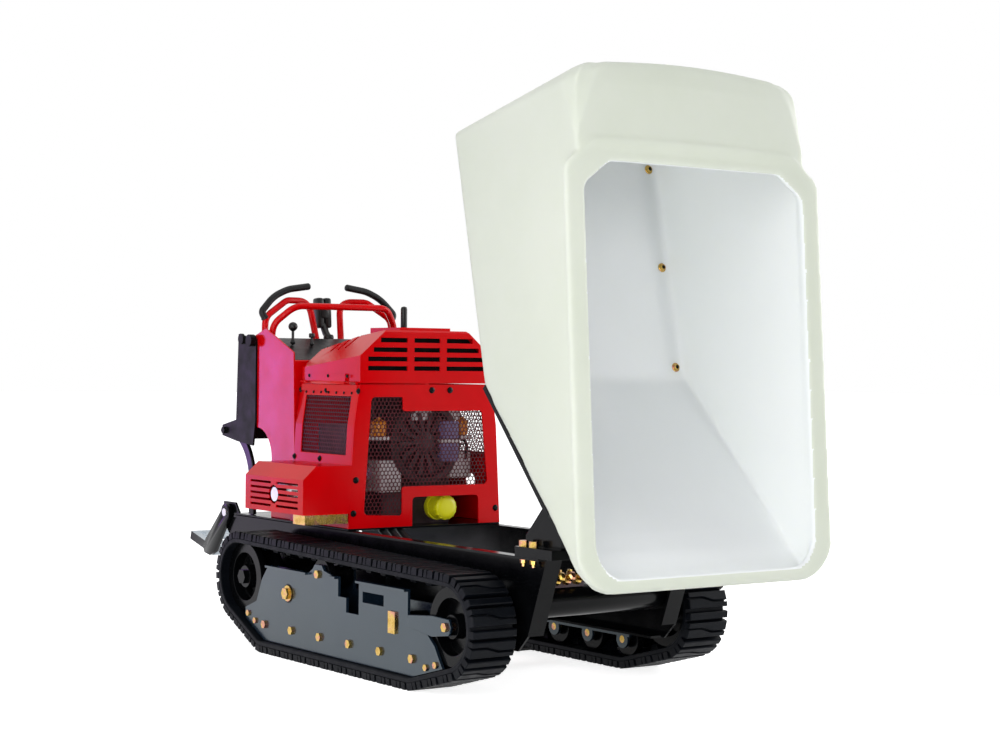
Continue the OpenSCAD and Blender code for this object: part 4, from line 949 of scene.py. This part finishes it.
make_panel_controls()
make_traction_grip()
make_lever("throttle_knob", "throttle_lever", -224, -180, 8,
           [(4, 4), (4, 33), (7, 35), (12, 40), (14, 46), (12.4, 53), (8, 58), (2, 60)])
make_lever("choke_knob", "choke_lever", -216, -120, 7,
           [(4, 4), (4, 18), (8, 19), (9, 22), (9, 29), (7.5, 32), (2, 32)])
make_lever("brake_paddle", "brake_lever", -209, 200, 9,
           [(6, 4), (6, 48), (9, 50), (10, 54), (10, 112), (8, 118), (2, 120)])

# Platform: black arms, galvanised tread
TREAD_HALF = 0.2375


def part_of(node, keep):
    """Faces of a CAD node that pass a test on their middle, as a new mesh with rounded edges."""
    bm = bmesh.new()
    bm.from_mesh(NODES[node].data)
    bmesh.ops.remove_doubles(bm, verts=bm.verts, dist=1e-6)
    drop = [f for f in bm.faces if not keep(f.calc_center_median())]
    bmesh.ops.delete(bm, geom=drop, context="FACES")
    bmesh.ops.dissolve_limit(bm, angle_limit=0.01, verts=bm.verts, edges=bm.edges)
    sharp = [e for e in bm.edges if len(e.link_faces) == 2 and e.calc_face_angle(0) > 0.6]
    bmesh.ops.bevel(bm, geom=sharp, offset=0.0012, segments=2, profile=0.5, affect="EDGES",
                    clamp_overlap=True)
    mesh = bpy.data.meshes.new(node)
    bm.to_mesh(mesh)
    bm.free()
    return mesh


arms = part_of("platform", lambda c: abs(c.y) > TREAD_HALF)
piece("platform_arms", arms, "step", "black_paint", replaces=("platform",), angle=35)
tread = part_of("platform", lambda c: abs(c.y) <= TREAD_HALF)
piece("platform_tread", tread, "step", "galvanised", angle=35)


# Floor bolts of the tub: gold washers, with black hex fills in their sockets that paint the shade of the
# socket holes, and nuts below
def make_floor_bolts():
    bolt_y, floor_t, nut_drop = 290, 10, 14
    up = tub_point(0, 0, 1) - tub_point(0, 0, 0)
    washers, socket_shade = Kit(), Kit()
    for s in SIDES:
        for u in (66, 335, 604):
            at = tub_point(u, s * bolt_y, floor_t)
            washers.lathe(at, up, [(12, -0.5), (12, 1.6), (11, 2.6), (8.5, 2.8), (8, 6.6), (7, 7.6),
                                   (5.4, 7.6), (5.2, 4.4), (0.5, 4.2)], 28)
            # black hex fill in the socket hole: painted shade
            socket_shade.lathe(at, up, [(5.6, 4.0), (5.6, 7.0), (4.6, 7.4), (1, 7.4)], 6)
            below = tub_point(u, s * bolt_y, -nut_drop)
            washers.lathe(below, -up, [(9, 0), (9, 6), (8, 7), (5, 7), (5, 8)], 6)
    washers.done("floor_washers", "bucket", "zinc", replaces=("tub_bolts",))
    socket_shade.done("floor_socket_shade", "bucket", "black_paint")


# Black edges of the slope plate under the tub
def make_plate_edges():
    inner_y, plate_t = 298, 12
    slope_rise, slope_run = 170.6, 289.5
    slope = math.atan2(slope_rise, slope_run)
    kit = Kit()
    for s in SIDES:
        rings = []
        for u, d in ((652, 2), (654, 0), (1000, 0), (1002, 2)):
            low = (u - FLOOR_LEN) * math.tan(slope)
            wide = TUB_HALF - 2 + TUB_SPREAD * low / TUB_RISE - d
            edge = ((inner_y, -2), (wide, -2), (wide, plate_t - 2 - d), (wide - 2, plate_t - d),
                    (inner_y, plate_t - d))
            rings.append([tub_point(u + k * math.sin(slope), s * y, low - k * math.cos(slope))
                          for y, k in edge])
        kit.loft(rings)
    kit.done("plate_edges", "bucket", "black_paint")


# Hydraulic block with three hoses near the tub pivot, and the nuts of the pivot ears
def make_hydraulics():
    hose_r, bend = 9, 90
    hoses, nuts, block = Kit(), Kit(), Kit()
    lean = Vector((0.9, 0, 0.43))
    for k, y in enumerate((-150, -118, -86)):
        rise = 6 * k
        route = [(988, y, 282), (930, y, 276), (700, y * 0.95, 256 + rise), (420, y * 0.9, 262 + rise),
                 (262, y * 0.9, 318), (206, y * 0.9, 351)]
        hoses.tube(fillet([point(*q) for q in route], bend), hose_r, 14)
        block.lathe(point(988, y, 282), -FRONT, [(12, -2), (12, 12), (11, 14), (11, 30), (9, 32)], 20)
        nuts.lathe(point(1034, y, 286), lean, [(13, -2), (13, 12), (9, 14), (9, 22), (12, 23), (12, 34),
                                               (7, 38)], 6)
        nuts.lathe(point(1010, y, 295), TOP, [(9, -1), (9, 8), (6, 9), (6, 14), (3, 15)], 6)
    hoses.done("hydraulic_hoses", "chassis", "grip_rubber")
    for s in SIDES:
        for x in (1038, 1079):
            nuts.lathe(point(x, s * 249, 346.2), -TOP, [(11, 0), (11, 1.5), (9, 2), (9, 10), (8, 11),
                                                        (5, 11), (5, 18), (3.5, 19)], 6)
    nuts.done("hose_nuts", "chassis", "zinc")
    # the box comes last: faces made after its bevel would be stored in an order that changes between runs
    block.box((984, -176, 268), (1036, -60, 296), 3)
    block.done("hose_block", "chassis", "cast_grey")


# Thick curved arms under the pad
def make_pad_arms():
    arm_y, bend, foot_x = 236, 160, -360
    sect = ((-15, -4), (-13, -6), (13, -6), (15, -4), (15, 4), (13, 6), (-13, 6), (-15, 4))
    kit = Kit()
    for s in SIDES:
        path = [point(foot_x - bend + bend * math.cos(a), s * arm_y, 452 + bend * math.sin(a))
                for a in (math.radians(90 - 5 * k) for k in range(19))]
        path += [point(foot_x, s * arm_y, z) for z in (430, 400, 359)]
        rings = []
        for q, n in zip(path, path[1:] + [path[-1] * 2 - path[-2]]):
            across = (n - q).normalized().cross(Vector((0, 1, 0)))
            rings.append([q + across * (a / 1000) + Vector((0, b / 1000, 0)) for a, b in sect])
        kit.loft(rings)
    kit.done("pad_arms", "chassis", "black_paint")


make_floor_bolts()
make_plate_edges()
make_hydraulics()
make_pad_arms()


# Rounded edges on the CAD nodes that stay
def round_edges(node, width):
    m = node.modifiers.new("weld", "WELD")
    m.merge_threshold = 1e-5
    m = node.modifiers.new("bevel", "BEVEL")
    m.width = width
    m.segments = 2
    m.limit_method = "ANGLE"
    m.angle_limit = math.radians(38)


for name, node in NODES.items():
    if not node.hide_render:
        round_edges(node, 0.002 if LOOK_OF[name] in ("red_paint", "console_paint") else 0.0016)


# Floor, background and lamps
def seen_directly(tree):
    """Factor that is 1 for rays of the camera, of reflections and of glass."""
    path = tree.nodes.new("ShaderNodeLightPath")
    last = path.outputs["Is Camera Ray"]
    for name in ("Is Glossy Ray", "Is Transmission Ray"):
        m = tree.nodes.new("ShaderNodeMath")
        m.operation = "MAXIMUM"
        tree.links.new(last, m.inputs[0])
        tree.links.new(path.outputs[name], m.inputs[1])
        last = m.outputs[0]
    return last


def floor_material():
    """Pale floor with a glow that is seen but lights nothing, stronger far out, so it fades away."""
    n = Nodes("floor")
    place = n.new("ShaderNodeNewGeometry")
    dist = n.new("ShaderNodeVectorMath")
    dist.operation = "LENGTH"
    n.link(place.outputs["Position"], dist.inputs[0])
    fade = n.span(dist.outputs["Value"], 0.9, 2.6, 0, 1)
    grey = n.ramp(n.noise(2.0, 2), [(0.3, (0.90, 0.90, 0.90, 1)), (0.7, (0.91, 0.91, 0.91, 1))])
    n.link(grey, n.bsdf.inputs["Base Color"])
    n.bsdf.inputs["Roughness"].default_value = 0.9
    n.bsdf.inputs["Specular IOR Level"].default_value = 0.1
    glow = n.new("ShaderNodeEmission")
    n.link(n.span(fade, 0, 1, 0.82, 1.0), glow.inputs["Strength"])
    off = n.new("ShaderNodeEmission")
    off.inputs["Strength"].default_value = 0
    seen = n.new("ShaderNodeMixShader")
    n.link(seen_directly(n.tree), seen.inputs["Fac"])
    n.link(off.outputs[0], seen.inputs[1])
    n.link(glow.outputs[0], seen.inputs[2])
    both = n.new("ShaderNodeAddShader")
    n.link(n.bsdf.outputs[0], both.inputs[0])
    n.link(seen.outputs[0], both.inputs[1])
    n.link(both.outputs[0], n.tree.nodes["Material Output"].inputs["Surface"])
    return n.material


def make_floor():
    bm = bmesh.new()
    bmesh.ops.create_grid(bm, x_segments=8, y_segments=8, size=40)
    mesh = bpy.data.meshes.new("floor")
    bm.to_mesh(mesh)
    bm.free()
    floor = bpy.data.objects.new("floor", mesh)
    scene.collection.objects.link(floor)
    mesh.materials.append(floor_material())


def make_world():
    """White where it is seen, dimmer as a light."""
    world = bpy.data.worlds.new("world")
    scene.world = world
    world.use_nodes = True
    tree = world.node_tree
    light = tree.nodes["Background"]
    light.inputs["Color"].default_value = (0.95, 0.97, 1.0, 1)
    light.inputs["Strength"].default_value = 0.40
    clear = tree.nodes.new("ShaderNodeBackground")
    clear.inputs["Color"].default_value = (1, 1, 1, 1)
    clear.inputs["Strength"].default_value = 1
    mix = tree.nodes.new("ShaderNodeMixShader")
    tree.links.new(seen_directly(tree), mix.inputs["Fac"])
    tree.links.new(light.outputs[0], mix.inputs[1])
    tree.links.new(clear.outputs[0], mix.inputs[2])
    tree.links.new(mix.outputs[0], tree.nodes["World Output"].inputs["Surface"])


def lamp(name, at, aim, size, power, colour=(1, 1, 1)):
    d = bpy.data.lights.new(name, "AREA")
    d.shape = "RECTANGLE"
    d.size, d.size_y = size
    d.energy = power
    d.color = colour
    o = bpy.data.objects.new(name, d)
    scene.collection.objects.link(o)
    o.location = at
    o.rotation_euler = (Vector(aim) - Vector(at)).to_track_quat("-Z", "Y").to_euler()
    o.visible_camera = False


make_floor()
make_world()
lamp("side", (-4.42, -2.3, 0.66), (-0.6, -0.3, 0.7), (0.42, 0.9), 8.5, (0.52, 0.17, 1.0))
lamp("key", (1.6, -3.9, 2.0), (0.4, 0, 0.7), (2.2, 1.8), 56)
lamp("front", (4.9, 0.2, 1.9), (0.5, 0, 0.8), (1.8, 1.6), 32)
lamp("fill", (2.6, -2.2, 0.6), (-0.1, 0, 0.6), (1.2, 0.9), 17)
lamp("back", (1.2, 3.9, 1.7), (0.7, 0.3, 1.0), (2.2, 2.0), 90)
lamp("top", (0.2, 0.2, 4.2), (0.2, 0, 0.5), (3.0, 3.0), 26)
